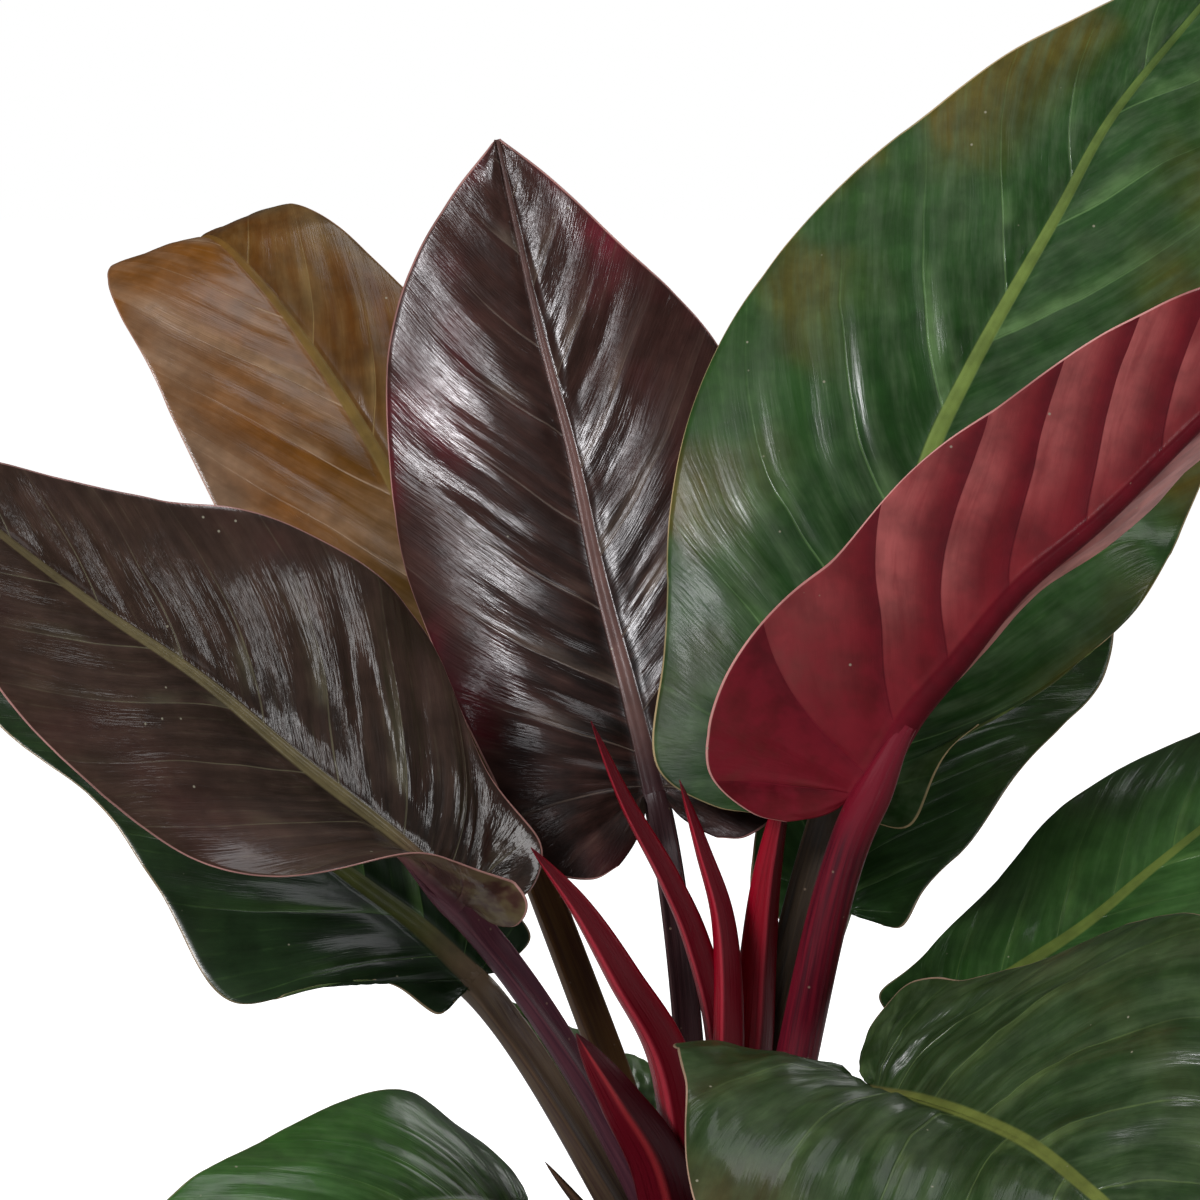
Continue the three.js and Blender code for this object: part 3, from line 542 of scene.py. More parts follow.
def blade_object(leaf, spine, look, seed):
    grid = full_grid(leaf, spine)
    middle = grid["points"] + grid_normals(grid["points"]) * relief(grid, look, seed)[..., None]
    normals = grid_normals(middle)
    rib_mm = rib_width(leaf, spine, grid["run"] * spine.length)
    round_off = np.sqrt(np.clip(1 - grid["rib"] ** 2, 0, 1))
    crease = CREASE * np.exp(-(((grid["rib"] - 1.1) / 0.3) ** 2))
    half_thick = THICKNESS / 2 * mix(1, MARGIN_THIN, smoothstep(0.94, 1, grid["across"]))
    rise = mix(*RIB_ABOVE, smoothstep(0, 0.2, grid["run"]))
    over = half_thick + rib_mm * rise * round_off**1.5 - crease
    beneath = half_thick + rib_mm * RIB_BELOW * round_off
    top = middle + normals * over[..., None]
    bottom = middle - normals * beneath[..., None]
    # The margin is rounded by one more ring of points.
    rows, columns = grid["across"].shape
    ring = border(rows, columns)
    outer, inner = tuple(ring[:2]), tuple(ring[2:])
    rim = middle[outer] + unit(middle[outer] - middle[inner]) * RIM
    points = np.vstack([top.reshape(-1, 3), bottom.reshape(-1, 3), rim])
    count = rows * columns
    ids = np.arange(count).reshape(rows, columns)
    edge = ids[outer]
    after = np.roll(edge, -1)
    rim_ids = 2 * count + np.arange(len(edge))
    rim_after = np.roll(rim_ids, -1)
    faces = np.vstack([
        quads(ids),
        quads(ids + count)[:, ::-1],
        np.stack([after, edge, rim_ids, rim_after], -1),
        np.stack([rim_after, rim_ids, edge + count, after + count], -1),
    ])
    tables = {
        "across": grid["across"],
        "vein": grid["vein"] + RIGHT_VEINS * grid["side"],
        "rib": grid["rib"],
        "run": grid["run"],
        "margin": margin_distance(middle),
    }
    values = {}
    for key, table in tables.items():
        values[key] = np.concatenate([table.ravel(), table.ravel(), table[outer]])
    values["under"] = np.concatenate([np.zeros(count), np.ones(count), np.zeros(len(edge))])
    return make_object(leaf.name + "_blade_fine", points, faces.tolist(), values)


# Stalks

STALK_SIDES = 40
STALK_RINGS = 90
MERGE_RINGS = 16
MERGE_SHARE = 0.13
FOOT_RADIUS = 9
FOOT_DEPTH = 6.5
FOOT_REACH = 42
FIRST_HEIGHT = 190
STEP_DOWN = 0.9
FIRST_OUT = 5
STEP_OUT = 0.9
STALK_DROP = 0.55
CHANNEL_FLOOR = 0.42
RIDGE_HEIGHT = 0.5
CHANNEL_FILLED = 1.22
FILLED_REACH = 3.5
# At the foot and at the joint, as shares of the radius and of the stalk's reach
STALK_WIDTH = (1.12, 0.95)
STALK_DEPTH = (1.05, 0.85)
HANDLES = (0.3, 0.25)


def bezier(a, b, c, d, t):
    t = t[:, None]
    return a * (1 - t) ** 3 + 3 * b * t * (1 - t) ** 2 + 3 * c * t**2 * (1 - t) + d * t**3


def stalk_section(width, depth, flat, level):
    """Rings of points across and up: round below, with a shallow channel between two ridges above.

    Where flat is 1, the upper side is flat at its level, a share of the depth, instead.
    """
    angle = circle(STALK_SIDES) - np.pi / 2
    sine, cosine = np.sin(angle), np.cos(angle)
    top = mix(CHANNEL_FLOOR + RIDGE_HEIGHT * cosine**2, level[:, None], flat[:, None])
    top = top * np.sqrt(np.clip(sine, 0, 1))
    return np.stack([width[:, None] * cosine, depth[:, None] * np.where(sine > 0, top, sine)], -1)


def swept(points, tangents, faces, sections):
    """The sections, as points across and up, set along a course."""
    up = unit(faces - tangents * np.sum(faces * tangents, -1, keepdims=True))
    right = np.cross(tangents, up)
    return points[:, None] + sections[..., :1] * right[:, None] + sections[..., 1:] * up[:, None]


def stalk_object(leaf, spine):
    age = ORDER.index(int(leaf.name[-2:]))
    angle = np.radians(leaf.stalk.azimuth)
    outward = np.array([np.cos(angle), np.sin(angle), 0])
    foot = outward * (FIRST_OUT + STEP_OUT * age) + (0, 0, FIRST_HEIGHT - STEP_DOWN * age)
    point, tangent, up, _ = (v[0] for v in spine.axes(np.zeros(1)))
    radius = leaf.stalk.radius
    end = point - tangent * 0.3 - up * radius * STALK_DROP
    reach = np.linalg.norm(end - foot)
    rise = unit(outward * leaf.stalk.lean + (0, 0, 1))
    handles = foot + rise * reach * HANDLES[0], end - tangent * reach * HANDLES[1]
    course = Course(bezier(foot, *handles, end, np.linspace(0, 1, 400)))
    u = np.linspace(0, 1, STALK_RINGS + 1)
    broad = np.clip(1 - u * course.length / FOOT_REACH, 0, 1) ** 1.5
    width = mix(radius, FOOT_RADIUS, broad) * mix(*STALK_WIDTH, u)
    depth = mix(radius, FOOT_DEPTH, broad) * mix(*STALK_DEPTH, u)
    face = mix(-outward, up, u[:, None])
    # Under the blade the stalk runs on and thins out into the midrib.
    x = np.linspace(0, MERGE_SHARE * spine.length, MERGE_RINGS + 1)[1:]
    merge_point, merge_tangent, merge_up, _ = spine.axes(x)
    s = smoothstep(0, 1, x / x[-1])
    rib = rib_width(leaf, spine, x)
    drop = mix(radius * STALK_DROP, rib * 0.45, s)
    points = np.vstack([course.at(u), merge_point - merge_up * drop[:, None]])
    tangents = np.vstack([course.tangent(u), merge_tangent])
    faces = np.vstack([face, merge_up])
    width = np.concatenate([width, mix(radius * STALK_WIDTH[1], rib * 0.7, s)])
    depth = np.concatenate([depth, mix(radius * STALK_DEPTH[1], rib * 0.5, s)])
    # Close to the joint its channel fills up, so that its upper side meets the midrib's.
    flat = smoothstep(1 - FILLED_REACH * radius / course.length, 1, u)
    flat = np.concatenate([flat, np.ones(MERGE_RINGS)])
    level = np.full(len(u), CHANNEL_FILLED)
    level = np.concatenate([level, mix(CHANNEL_FILLED, 0.2, smoothstep(0, 0.3, s))])
    rings = swept(points, tangents, faces, stalk_section(width, depth, flat, level))
    around = np.arange(STALK_SIDES) / STALK_SIDES
    run = np.concatenate([u, 1 + x / course.length])[:, None]
    return tube_object(leaf.name + "_stalk_fine", rings, around=around, run=run, reach=run * course.length)


# Sheaths, a little fuller towards their tips than in the part

SHEATH_SECTION = ((0, -1.2), (0.6, -0.82), (1, -0.1), (0.74, 0.45), (0.2, 0.3), (0, -0.15))
SHEATH_RINGS = 90
SHEATH_FOOT = 0.75
SHEATH_TAPER = 0.75
SHEATH_TIP = 0.03


def closed_curve(points, per_span):
    p = np.array(points, float)
    ring = np.vstack([p[-1], p, p[0], p[1]])
    return catmull_rom(ring, per_span)[per_span:per_span * (len(p) + 1)]


def sheath_object(sheath):
    course = Course(catmull_rom(sheath.path))
    half = list(SHEATH_SECTION)
    section = closed_curve(half + [(-a, b) for a, b in half[-2:0:-1]], 6)
    u = np.linspace(0, 1, SHEATH_RINGS + 1)
    taper = np.minimum(1, SHEATH_FOOT + u) * (1 - u**3) ** SHEATH_TAPER
    taper = np.maximum(SHEATH_TIP, taper)
    sections = section[None] * (taper[:, None, None] * np.array([sheath.width, sheath.depth]))
    faces = np.broadcast_to(np.array(sheath.open, float), (len(u), 3))
    rings = swept(course.at(u), course.tangent(u), faces, sections)
    around = np.arange(len(section)) / len(section)
    keel = np.minimum(around, 1 - around) * 2
    return tube_object(sheath.name + "_fine", rings, around=around, keel=keel, run=u[:, None])


# Soil, stem and pot

POT_HEIGHT = 190
POT_RIM_RADIUS = 105
POT_BASE_RADIUS = 74
POT_BAND = 20
POT_BAND_DEPTH = 4
POT_WALL = 3
POT_FLOOR = 4
POT_SEGMENTS = 160
EDGE_ROUND = 2.2
BAND_ROUND = 1.2
LIP_ROUND = 2.4
DRAIN_HOLES = 8
DRAIN_RADIUS = 5.5
DRAIN_CIRCLE = 52
DRILL_SIDES = 24
DRILL_PAST = 2
SOIL_LEVEL = 166
SOIL_HEAP = 5
SOIL_GAP = 0.4
SOIL_RINGS = 46
SOIL_SIDES = 150
SOIL_SEED = 11
LOOSE_REACH = 0.97
LOOSE_TILT = 0.35
LOOSE_LIFT = 0.25
# How many, the smallest and largest size, the shape and the kind of crumbs, bark and grit
LOOSE = (
    (900, (1.1, 3.2), (1, 0.9, 0.7), 0),
    (110, (2.5, 6.5), (1.5, 0.7, 0.3), 1),
    (60, (1, 2.1), (1, 1, 0.9), 2),
)
STEM_HEIGHTS = (100, 194)
STEM_RADII = (16, 11)
STEM_NODES = 9
STEM_RING = 0.9
STEM_RING_WIDTH = 0.12


def lathe(name, profile, segments):
    """A closed solid of revolution from a profile of (radius, height) that starts and ends on the axis."""
    profile = np.array(profile, float)
    body = profile[1:-1]
    points = ringed(body[:, :1], circle(segments), body[:, 1:]).reshape(-1, 3)
    ends = [(0, 0, profile[0, 1]), (0, 0, profile[-1, 1])]
    faces = pointed_faces(closed_rings(len(body), segments), len(points), len(points) + 1)
    return make_object(name, np.vstack([points, ends]), faces)


def pot_radius(z):
    return mix(POT_BASE_RADIUS, POT_RIM_RADIUS - POT_BAND_DEPTH, z / POT_HEIGHT)


def arc(centre_r, centre_z, radius, start, stop, steps=5):
    """Points on a round corner of a profile, by angles in degrees."""
    angles = np.radians(np.linspace(start, stop, steps))
    return [(centre_r + radius * np.cos(a), centre_z + radius * np.sin(a)) for a in angles]


def cut_holes(pot):
    """Cuts the drain holes through the pot's floor."""
    low, high = -DRILL_PAST, POT_FLOOR + DRILL_PAST
    bit = [(0, low), (DRAIN_RADIUS, low), (DRAIN_RADIUS, high), (0, high)]
    drills = []
    for k in range(DRAIN_HOLES):
        angle = 2 * np.pi * (k + 0.5) / DRAIN_HOLES
        drill = lathe("drill", bit, DRILL_SIDES)
        drill.location = Vector((np.cos(angle), np.sin(angle), 0)) * DRAIN_CIRCLE * MM
        cut = pot.modifiers.new("hole", "BOOLEAN")
        cut.object = drill
        drills.append(drill)
    bpy.context.view_layer.update()
    solid = bpy.data.meshes.new_from_object(pot.evaluated_get(bpy.context.evaluated_depsgraph_get()))
    pot.modifiers.clear()
    pot.data = solid
    for drill in drills:
        bpy.data.objects.remove(drill)


def pot_object():
    foot = POT_HEIGHT - POT_BAND
    inner = pot_radius(POT_HEIGHT) - POT_WALL
    profile = [(0, 0), (POT_BASE_RADIUS - 3, 0)]
    profile += arc(POT_BASE_RADIUS - EDGE_ROUND, EDGE_ROUND, EDGE_ROUND, -80, -10)
    profile += [(pot_radius(z), z) for z in np.linspace(6, foot - 1.5, 24)]
    profile += arc(pot_radius(foot) + 1.4, foot - BAND_ROUND, BAND_ROUND, 180, 100, 4)
    profile += arc(POT_RIM_RADIUS - BAND_ROUND, foot + BAND_ROUND, BAND_ROUND, -70, 0, 4)
    profile += [(POT_RIM_RADIUS, z) for z in np.linspace(foot + 3, POT_HEIGHT - 4, 5)]
    profile += arc(POT_RIM_RADIUS - LIP_ROUND, POT_HEIGHT - LIP_ROUND, LIP_ROUND, 10, 90, 6)
    profile += arc(inner + EDGE_ROUND, POT_HEIGHT - EDGE_ROUND, EDGE_ROUND, 90, 180, 6)
    profile += [(pot_radius(z) - POT_WALL, z) for z in np.linspace(POT_HEIGHT - 6, POT_FLOOR + 4, 12)]
    profile += [(pot_radius(POT_FLOOR) - POT_WALL - 4, POT_FLOOR), (0, POT_FLOOR)]
    pot = lathe("pot_fine", profile, POT_SEGMENTS)
    cut_holes(pot)
    return pot


def soil_height(x, y):
    """The soil's uneven top, heaped a little towards the stem."""
    radius = np.hypot(x, y) / (pot_radius(SOIL_LEVEL) - POT_WALL)
    ripple = 1.2 * np.sin(x * 0.13 + 1) * np.cos(y * 0.11 + 1)
    ripple = ripple + 0.8 * np.sin(x * 0.31 + 2) * np.cos(y * 0.27 + 2)
    fine = 0.7 * np.sin(x * 0.83 + 2.1 * np.sin(y * 0.21)) * np.sin(y * 0.77 + 1.3 * np.sin(x * 0.19))
    return SOIL_LEVEL + SOIL_HEAP * (1 - radius**2) + (ripple + fine) * (1 - radius**6)


def lump(rng, size, flat, sides=7):
    """A rough closed crumb round the origin: rings of a squashed ball, each point pushed in or out."""
    latitudes = np.radians([[-55], [-10], [40]])
    angle = circle(sides) + 2 * np.pi / sides * rng.uniform(0, 1, latitudes.shape)
    rings = ringed(np.cos(latitudes), angle, np.sin(latitudes)).reshape(-1, 3)
    points = np.vstack([(0, 0, -1), rings, (0, 0, 1)])
    points = points * rng.uniform(0.72, 1.15, (len(points), 1)) * (np.array(flat) * size)
    return points, pointed_faces(1 + closed_rings(len(latitudes), sides), 0, len(points) - 1)


def turned(rng, points, tilt):
    spin, lean = rng.uniform(0, 2 * np.pi), rng.normal(0, tilt)
    c, s = np.cos(lean), np.sin(lean)
    points = points @ np.array([[1, 0, 0], [0, c, s], [0, -s, c]])
    c, s = np.cos(spin), np.sin(spin)
    return points @ np.array([[c, s, 0], [-s, c, 0], [0, 0, 1]])


def soil_body(wall):
    """Rings from the pot's floor up its wall and over the uneven top to the middle."""
    angle = circle(SOIL_SIDES)
    low = ringed(pot_radius(POT_FLOOR + 4) - POT_WALL - 4, angle, POT_FLOOR + SOIL_GAP)
    top = ringed(wall * np.linspace(1, 0.03, SOIL_RINGS)[:, None], angle, 0)
    top[..., 2] = soil_height(top[..., 0], top[..., 1])
    return np.concatenate([low[None], top])


def soil_object():
    rng = np.random.default_rng(SOIL_SEED)
    wall = pot_radius(SOIL_LEVEL) - POT_WALL - SOIL_GAP
    body = soil_body(wall)
    points = [body.reshape(-1, 3)]
    faces = tube_faces(*body.shape[:2])
    count = len(points[0])
    kind = [np.zeros(count)]
    tone = [rng.uniform(0.3, 0.5, count)]
    for number, sizes, flat, which in LOOSE:
        for _ in range(number):
            r, a = wall * LOOSE_REACH * np.sqrt(rng.uniform(0.01, 1)), rng.uniform(0, 2 * np.pi)
            size = rng.uniform(*sizes)
            x, y = r * np.cos(a), r * np.sin(a)
            lump_points, lump_faces = lump(rng, size, flat)
            height = soil_height(x, y) + LOOSE_LIFT * size * flat[2]
            place = turned(rng, lump_points, LOOSE_TILT) + (x, y, height)
            points.append(place)
            faces += [[count + k for k in face] for face in lump_faces]
            kind.append(np.full(len(place), float(which)))
            tone.append(np.full(len(place), rng.uniform(0, 1)))
            count += len(place)
    values = {"kind": np.concatenate(kind), "tone": np.concatenate(tone)}
    return make_object("soil_fine", np.vstack(points), faces, values)


def stem_object():
    """The stem, with a raised ring at each old leaf's scar."""
    sides, rings = 64, 60
    u = np.linspace(0, 1, rings + 1)[:, None]
    angle = circle(sides)
    ring = ((u * STEM_NODES + 0.12 * np.sin(angle * 2)) % 1 - 0.5) / STEM_RING_WIDTH
    radius = mix(*STEM_RADII, u) + STEM_RING * np.exp(-(ring**2))
    radius = radius + 0.35 * np.sin(angle * 7 + 3 * u) + 0.2 * np.sin(angle * 13 - 9 * u)
    radius = radius * np.minimum(1, (1.02 - u) * 14) ** 0.5
    return tube_object("stem_fine", ringed(radius, angle, mix(*STEM_HEIGHTS, u)), run=u)


# Materials


def srgb(colour):
    """A colour given as 0 to 255 on screen, as linear values."""
    c = np.array(colour, float) / 255
    linear = np.where(c <= 0.04045, c / 12.92, ((c + 0.055) / 1.055) ** 2.4)
    return (*linear, 1)


class Shader:
    """A material whose nodes are made by short calls that return sockets.

    Colours are three numbers from 0 to 255, as on screen, or four linear ones.
    """

    def __init__(self, name, roughness, specular=0.5, coat=0.0, coat_roughness=0.1):
        self.material = bpy.data.materials.new(name)
        self.material.use_nodes = True
        self.nodes = self.material.node_tree.nodes
        self.links = self.material.node_tree.links
        self.surface = self.nodes["Principled BSDF"]
        self.surface.inputs["Roughness"].default_value = roughness
        self.surface.inputs["Specular IOR Level"].default_value = specular
        self.surface.inputs["Coat Weight"].default_value = coat
        self.surface.inputs["Coat Roughness"].default_value = coat_roughness

    def put(self, value, socket):
        if isinstance(value, bpy.types.NodeSocket):
            self.links.new(value, socket)
        elif isinstance(value, tuple) and len(value) == 3:
            socket.default_value = srgb(value)
        else:
            socket.default_value = value

    def node(self, kind, output, inputs, **settings):
        """One output of a new node with these inputs and settings."""
        node = self.nodes.new("ShaderNode" + kind)
        for key, value in settings.items():
            setattr(node, key, value)
        for key, value in inputs.items():
            self.put(value, node.inputs[key])
        return node.outputs[output]

    def number(self, name):
        return self.node("Attribute", "Fac", {}, attribute_name=name)

    def place(self):
        return self.node("TexCoord", "Object", {})

    def vector(self, x, y, z=0.0):
        return self.node("CombineXYZ", 0, {0: x, 1: y, 2: z})

    def math(self, operation, *values):
        return self.node("Math", 0, dict(enumerate(values)), operation=operation)

    def times(self, first, *others):
        for other in others:
            first = self.math("MULTIPLY", first, other)
        return first

    def plus(self, base, *parts):
        """The base with every value of the parts added, times its share."""
        for value, share in parts:
            base = self.math("MULTIPLY_ADD", value, share, base)
        return base

    def off(self, value, centre):
        """How far a value is from its centre."""
        return self.math("ABSOLUTE", self.math("SUBTRACT", value, centre))

    def step(self, value, low, high, start=0.0, stop=1.0):
        """A smooth change from start to stop while value goes from low to high."""
        inputs = {"Value": value, "From Min": low, "From Max": high, "To Min": start, "To Max": stop}
        return self.node("MapRange", 0, inputs, interpolation_type="SMOOTHSTEP")

    def fall(self, value, low, high):
        return self.step(value, low, high, 1.0, 0.0)

    def noise(self, vector, scale, detail, roughness=0.55):
        inputs = {"Vector": vector, "Scale": scale, "Detail": detail, "Roughness": roughness}
        return self.node("TexNoise", "Fac", inputs)

    def streaks(self, x, y, detail, roughness=0.55, z=0.0):
        """Noise over two values, each given with its rate, so that the slower one draws it out."""
        return self.noise(self.vector(self.times(*x), self.times(*y), z), 1, detail, roughness)

    def specks(self, vector, scale, core, edge, rarity):
        """Spots round scattered points, of which only those whose own number is above rarity count."""
        distance = self.node("TexVoronoi", "Distance", {"Vector": vector, "Scale": scale})
        own = self.node("SeparateColor", 0, {0: distance.node.outputs["Color"]})
        return self.times(self.fall(distance, core, edge), self.math("GREATER_THAN", own, rarity))

    def blend(self, a, b, share, kind="MIX"):
        return self.node("Mix", 2, {6: a, 7: b, 0: share}, data_type="RGBA", blend_type=kind)

    def layers(self, colour, *layers):
        """The colour with others laid over it in turn, each by its share."""
        for other, share in layers:
            colour = self.blend(colour, other, share)
        return colour

    def bump(self, height, distance, strength):
        return self.node("Bump", 0, {"Strength": strength, "Distance": distance, "Height": height})

    def finish(self, colour, roughness=None, normal=None):
        self.put(colour, self.surface.inputs["Base Color"])
        if roughness is not None:
            self.put(roughness, self.surface.inputs["Roughness"])
        if normal is not None:
            self.put(normal, self.surface.inputs["Normal"])
            self.put(normal, self.surface.inputs["Coat Normal"])
        return self.material


@dataclass
class Look:
    """A leaf's colours on screen, then the strengths of its relief and gloss.

    inner, body and outer colour the upper side from the midrib to the margin, and line the margin itself.
    ripple_until is how far along the midrib the ripples keep their height, left_ripple and left_gloss are
    the left half's shares, and base_gloss is the share of the coat at the joint.
    """

    inner: tuple
    body: tuple
    outer: tuple
    streak: tuple
    rib: tuple
    vein: tuple
    line: tuple
    under: tuple
    under_vein_and_shade: tuple
    under_highlight: tuple
    panel: float
    groove: float
    ripple: float
    grain: float
    crinkle: float
    coat: float
    roughness: float = 0.42
    coat_roughness: float = 0.16
    streak_rate: float = 4.5
    right_tint: tuple = (1, 1, 1)
    ripple_until: float = 0.5
    left_ripple: float = 1
    base_gloss: float = 0.5
    left_gloss: float = 1
    folded_sheen: bool = False


LOOKS = {
    "dark": Look(
        inner=(18, 11, 8), body=(46, 26, 20), outer=(92, 18, 32), streak=(68, 42, 36), rib=(104, 76, 70),
        vein=(104, 90, 78), line=(190, 140, 132), under=(72, 42, 36), under_vein_and_shade=(104, 70, 60),
        under_highlight=(104, 72, 64), panel=0.9, groove=0.5, ripple=1.7, grain=0.7, crinkle=0.1, coat=0.7,
        base_gloss=0.2),
    # Orange body: partly the leaf's own tone, partly a painted glow of light through it; its streak and
    # vein colours paint a sheen.
    "olive": Look(
        inner=(70, 52, 6), body=(114, 68, 14), outer=(110, 84, 62), streak=(150, 122, 96),
        rib=(110, 88, 42), vein=(170, 144, 116), line=(180, 140, 120), under=(112, 74, 52),
        under_vein_and_shade=(140, 100, 70), under_highlight=(150, 118, 96), panel=0.6, groove=0.3, ripple=1.0, grain=0.4,
        crinkle=0.12, coat=0.35, streak_rate=2, right_tint=(0.6, 0.58, 0.34)),
    "green": Look(
        inner=(18, 44, 10), body=(24, 52, 16), outer=(40, 58, 20), streak=(38, 70, 28), rib=(88, 104, 44),
        vein=(74, 104, 52), line=(160, 140, 110), under=(60, 80, 40), under_vein_and_shade=(96, 112, 60),
        under_highlight=(84, 104, 60), panel=0.55, groove=0.35, ripple=0.4, grain=0.3, crinkle=0.2, coat=0.35),
    # Its greyish streak colour is partly a painted sheen along the veins.
    "forest": Look(
        inner=(20, 50, 14), body=(36, 70, 28), outer=(84, 74, 24), streak=(80, 100, 70),
        rib=(106, 126, 60), vein=(98, 132, 78), line=(190, 166, 124), under=(70, 84, 40),
        under_vein_and_shade=(110, 120, 64), under_highlight=(96, 108, 64), panel=0.6, groove=0.35, ripple=0.9,
        grain=0.45, crinkle=0.25, coat=0.4, base_gloss=0.05),
    # Its greyish streak colour is partly a painted sheen along the veins.
    "moss": Look(
        inner=(34, 54, 22), body=(36, 58, 26), outer=(72, 64, 36), streak=(78, 96, 64), rib=(100, 110, 50),
        vein=(94, 114, 64), line=(180, 146, 124), under=(78, 88, 50), under_vein_and_shade=(110, 120, 70),
        under_highlight=(100, 112, 72), panel=1.3, groove=0.5, ripple=1.9, grain=0.6, crinkle=1.2, coat=0.3,
        base_gloss=0.8, left_gloss=2),
    "red": Look(
        inner=(150, 40, 46), body=(120, 30, 38), outer=(150, 60, 60), streak=(146, 66, 66),
        rib=(108, 16, 32), vein=(116, 16, 30), line=(216, 156, 148), under=(102, 14, 24),
        under_vein_and_shade=(84, 8, 20), under_highlight=(152, 76, 74), panel=0.9, groove=0.3, ripple=0.3, grain=0.3,
        crinkle=0.25, coat=0.15, roughness=0.45, folded_sheen=True),
}

# What sets single leaves apart from their look
OWN = {
    "leaf_03": {
        "inner": (32, 23, 17), "body": (50, 35, 26), "outer": (60, 35, 30), "streak": (76, 57, 48),
        "rib": (104, 94, 64), "vein": (112, 108, 84), "coat": 1, "ripple_until": 0.15,
        "left_ripple": 0.3, "base_gloss": 1, "left_gloss": 0.45, "coat_roughness": 0.12},
    "leaf_04": {
        "inner": (12, 30, 8), "body": (15, 34, 10), "outer": (24, 40, 14), "streak": (26, 48, 20),
        "rib": (72, 78, 34)},
    # Lighter than its look: partly its own tone, partly painted sheen.
    "leaf_05": {"body": (46, 84, 32), "streak": (72, 106, 56), "coat": 0.6},
    "leaf_07": {"rib": (112, 132, 58)},
    # Lighter than its look: partly its own tone, partly painted sheen.
    "leaf_09": {"body": (44, 78, 32), "inner": (30, 62, 20), "streak": (64, 98, 50), "coat": 0.5},
    "leaf_11": {"body": (60, 90, 40), "streak": (84, 108, 56)},
}

# Colours of the finest specks, the first one linear
DUST = (0.35, 0.33, 0.24, 1)
STALK_SPECK = (150, 130, 110)


class LeafShader(Shader):
    """A leaf's material, with the numbers and patterns that its two sides share."""

    def __init__(self, name, look):
        super().__init__(name, look.roughness, 0.12, look.coat, look.coat_roughness)
        self.across, self.run, self.here = self.number("across"), self.number("run"), self.place()
        self.patch = self.noise(self.here, 17, 2)
        self.mottle = self.noise(self.here, 75, 3, 0.62)
        # The side veins wander a little.
        self.vein = self.plus(self.number("vein"), (self.noise(self.here, 30, 1), 0.12))
        # Soft streaks and finer lines run along the side veins.
        rate = look.streak_rate
        self.streak = self.streaks((self.vein, rate), (self.across, rate / 2), 4, 0.6)
        self.fine = self.streaks((self.vein, 34), (self.across, 7), 2, z=self.run)
        self.in_panel = self.math("FRACT", self.vein)
        width = self.plus(0.02, (self.across, -0.008))
        veined = self.fall(self.math("PINGPONG", self.vein, 0.5), self.times(width, 0.3), width)
        self.veined = self.times(veined, self.step(self.across, 0.15, 0.9, 0.95, 0.15))
        between = self.math("PINGPONG", self.times(self.vein, 4), 0.5)
        self.lines = self.times(self.fall(between, 0.02, 0.09), self.step(self.mottle, 0.4, 0.7, 0.0, 0.3))
        self.on_rib = self.fall(self.number("rib"), 0.8, 1.15)
        self.right = self.math("GREATER_THAN", self.vein, HALVES_PART)


def upper_side(s, look, joint):
    core = s.times(s.fall(s.across, 0.1, 0.75), s.step(s.run, 0.1, 0.7, 1.0, 0.2))
    # Towards the joint the inner colour is laid on as well: partly the leaf's own tone, partly painted
    # shade.
    core = s.math("MAXIMUM", core, s.step(s.run, 0.0, 0.3, 0.8, 0.0))
    outer = s.times(s.step(s.across, 0.4, 1.0), s.step(s.patch, 0.42, 0.62, 0.05, 1.0),
                    s.step(s.run, 0.0, 0.3, 0.2, 1.0))
    # One side of each side vein has a painted sheen here and there.
    beside = s.times(s.step(s.in_panel, 0.0, 0.3, 0.7, 0.0), s.step(s.across, 0.15, 0.8, 1.0, 0.1),
                     s.step(s.noise(s.here, 26, 1), 0.45, 0.6), s.step(s.streak, 0.3, 0.6, 0.4, 1.0))
    # The streak colour is partly the leaf's own tone and partly a painted sheen along the side veins.
    colour = s.layers(
        look.body,
        (look.inner, core),
        (look.outer, outer),
        (look.streak, s.times(s.step(s.streak, 0.35, 0.8), 0.7)),
        (look.vein, beside),
        (look.vein, s.times(s.lines, 0.3)),
        (look.vein, s.times(s.veined, 0.55)),
    )
    colour = s.blend(colour, (*look.right_tint, 1), s.right, "MULTIPLY")
    to_tip = s.step(s.run, 0.5, 1.0, 0.0, 0.6)
    rib = s.layers(joint, (look.rib, s.step(s.run, 0.0, 0.16)), (look.body, to_tip))
    return s.blend(colour, rib, s.on_rib)


def underside(s, look, joint):
    """Duller, its side veins standing out as ridges; across each panel lie a painted highlight and painted
    shade.
    """
    # A painted highlight lies on each panel just after its side vein.
    panel_highlight = s.times(s.fall(s.in_panel, 0.1, 0.9), s.step(s.across, 0.08, 0.5, 0.25, 1.0),
                   s.step(s.patch, 0.36, 0.56, 0.5, 1.0), s.step(s.run, 0.0, 0.3, 0.2, 1.0),
                   s.step(s.streak, 0.3, 0.6, 0.6, 1.0))
    # Painted shade darkens each panel towards its next side vein.
    beside = s.step(s.in_panel, 0.7, 1.0, 0.0, 0.75)
    colour = s.layers(look.under, (look.under_vein_and_shade, beside), (look.under_highlight, panel_highlight))
    # The left half, where it is folded over, shows a paler rim: a painted sheen of light glancing off it.
    if look.folded_sheen:
        folded = s.times(s.math("LESS_THAN", s.vein, HALVES_PART), s.step(s.across, 0.1, 0.7), 0.6)
        colour = s.blend(colour, look.line, folded)
    by_joint = s.times(s.step(s.mottle, 0.4, 0.6, 0.0, 0.7), s.fall(s.run, -0.05, 0.3))
    ridge = s.math("MAXIMUM", s.times(s.veined, 0.8), s.on_rib)
    ridge_colour = s.blend(joint, look.under_vein_and_shade, s.step(s.run, 0.0, 0.2))
    return s.layers(colour, (look.rib, by_joint), (ridge_colour, ridge))


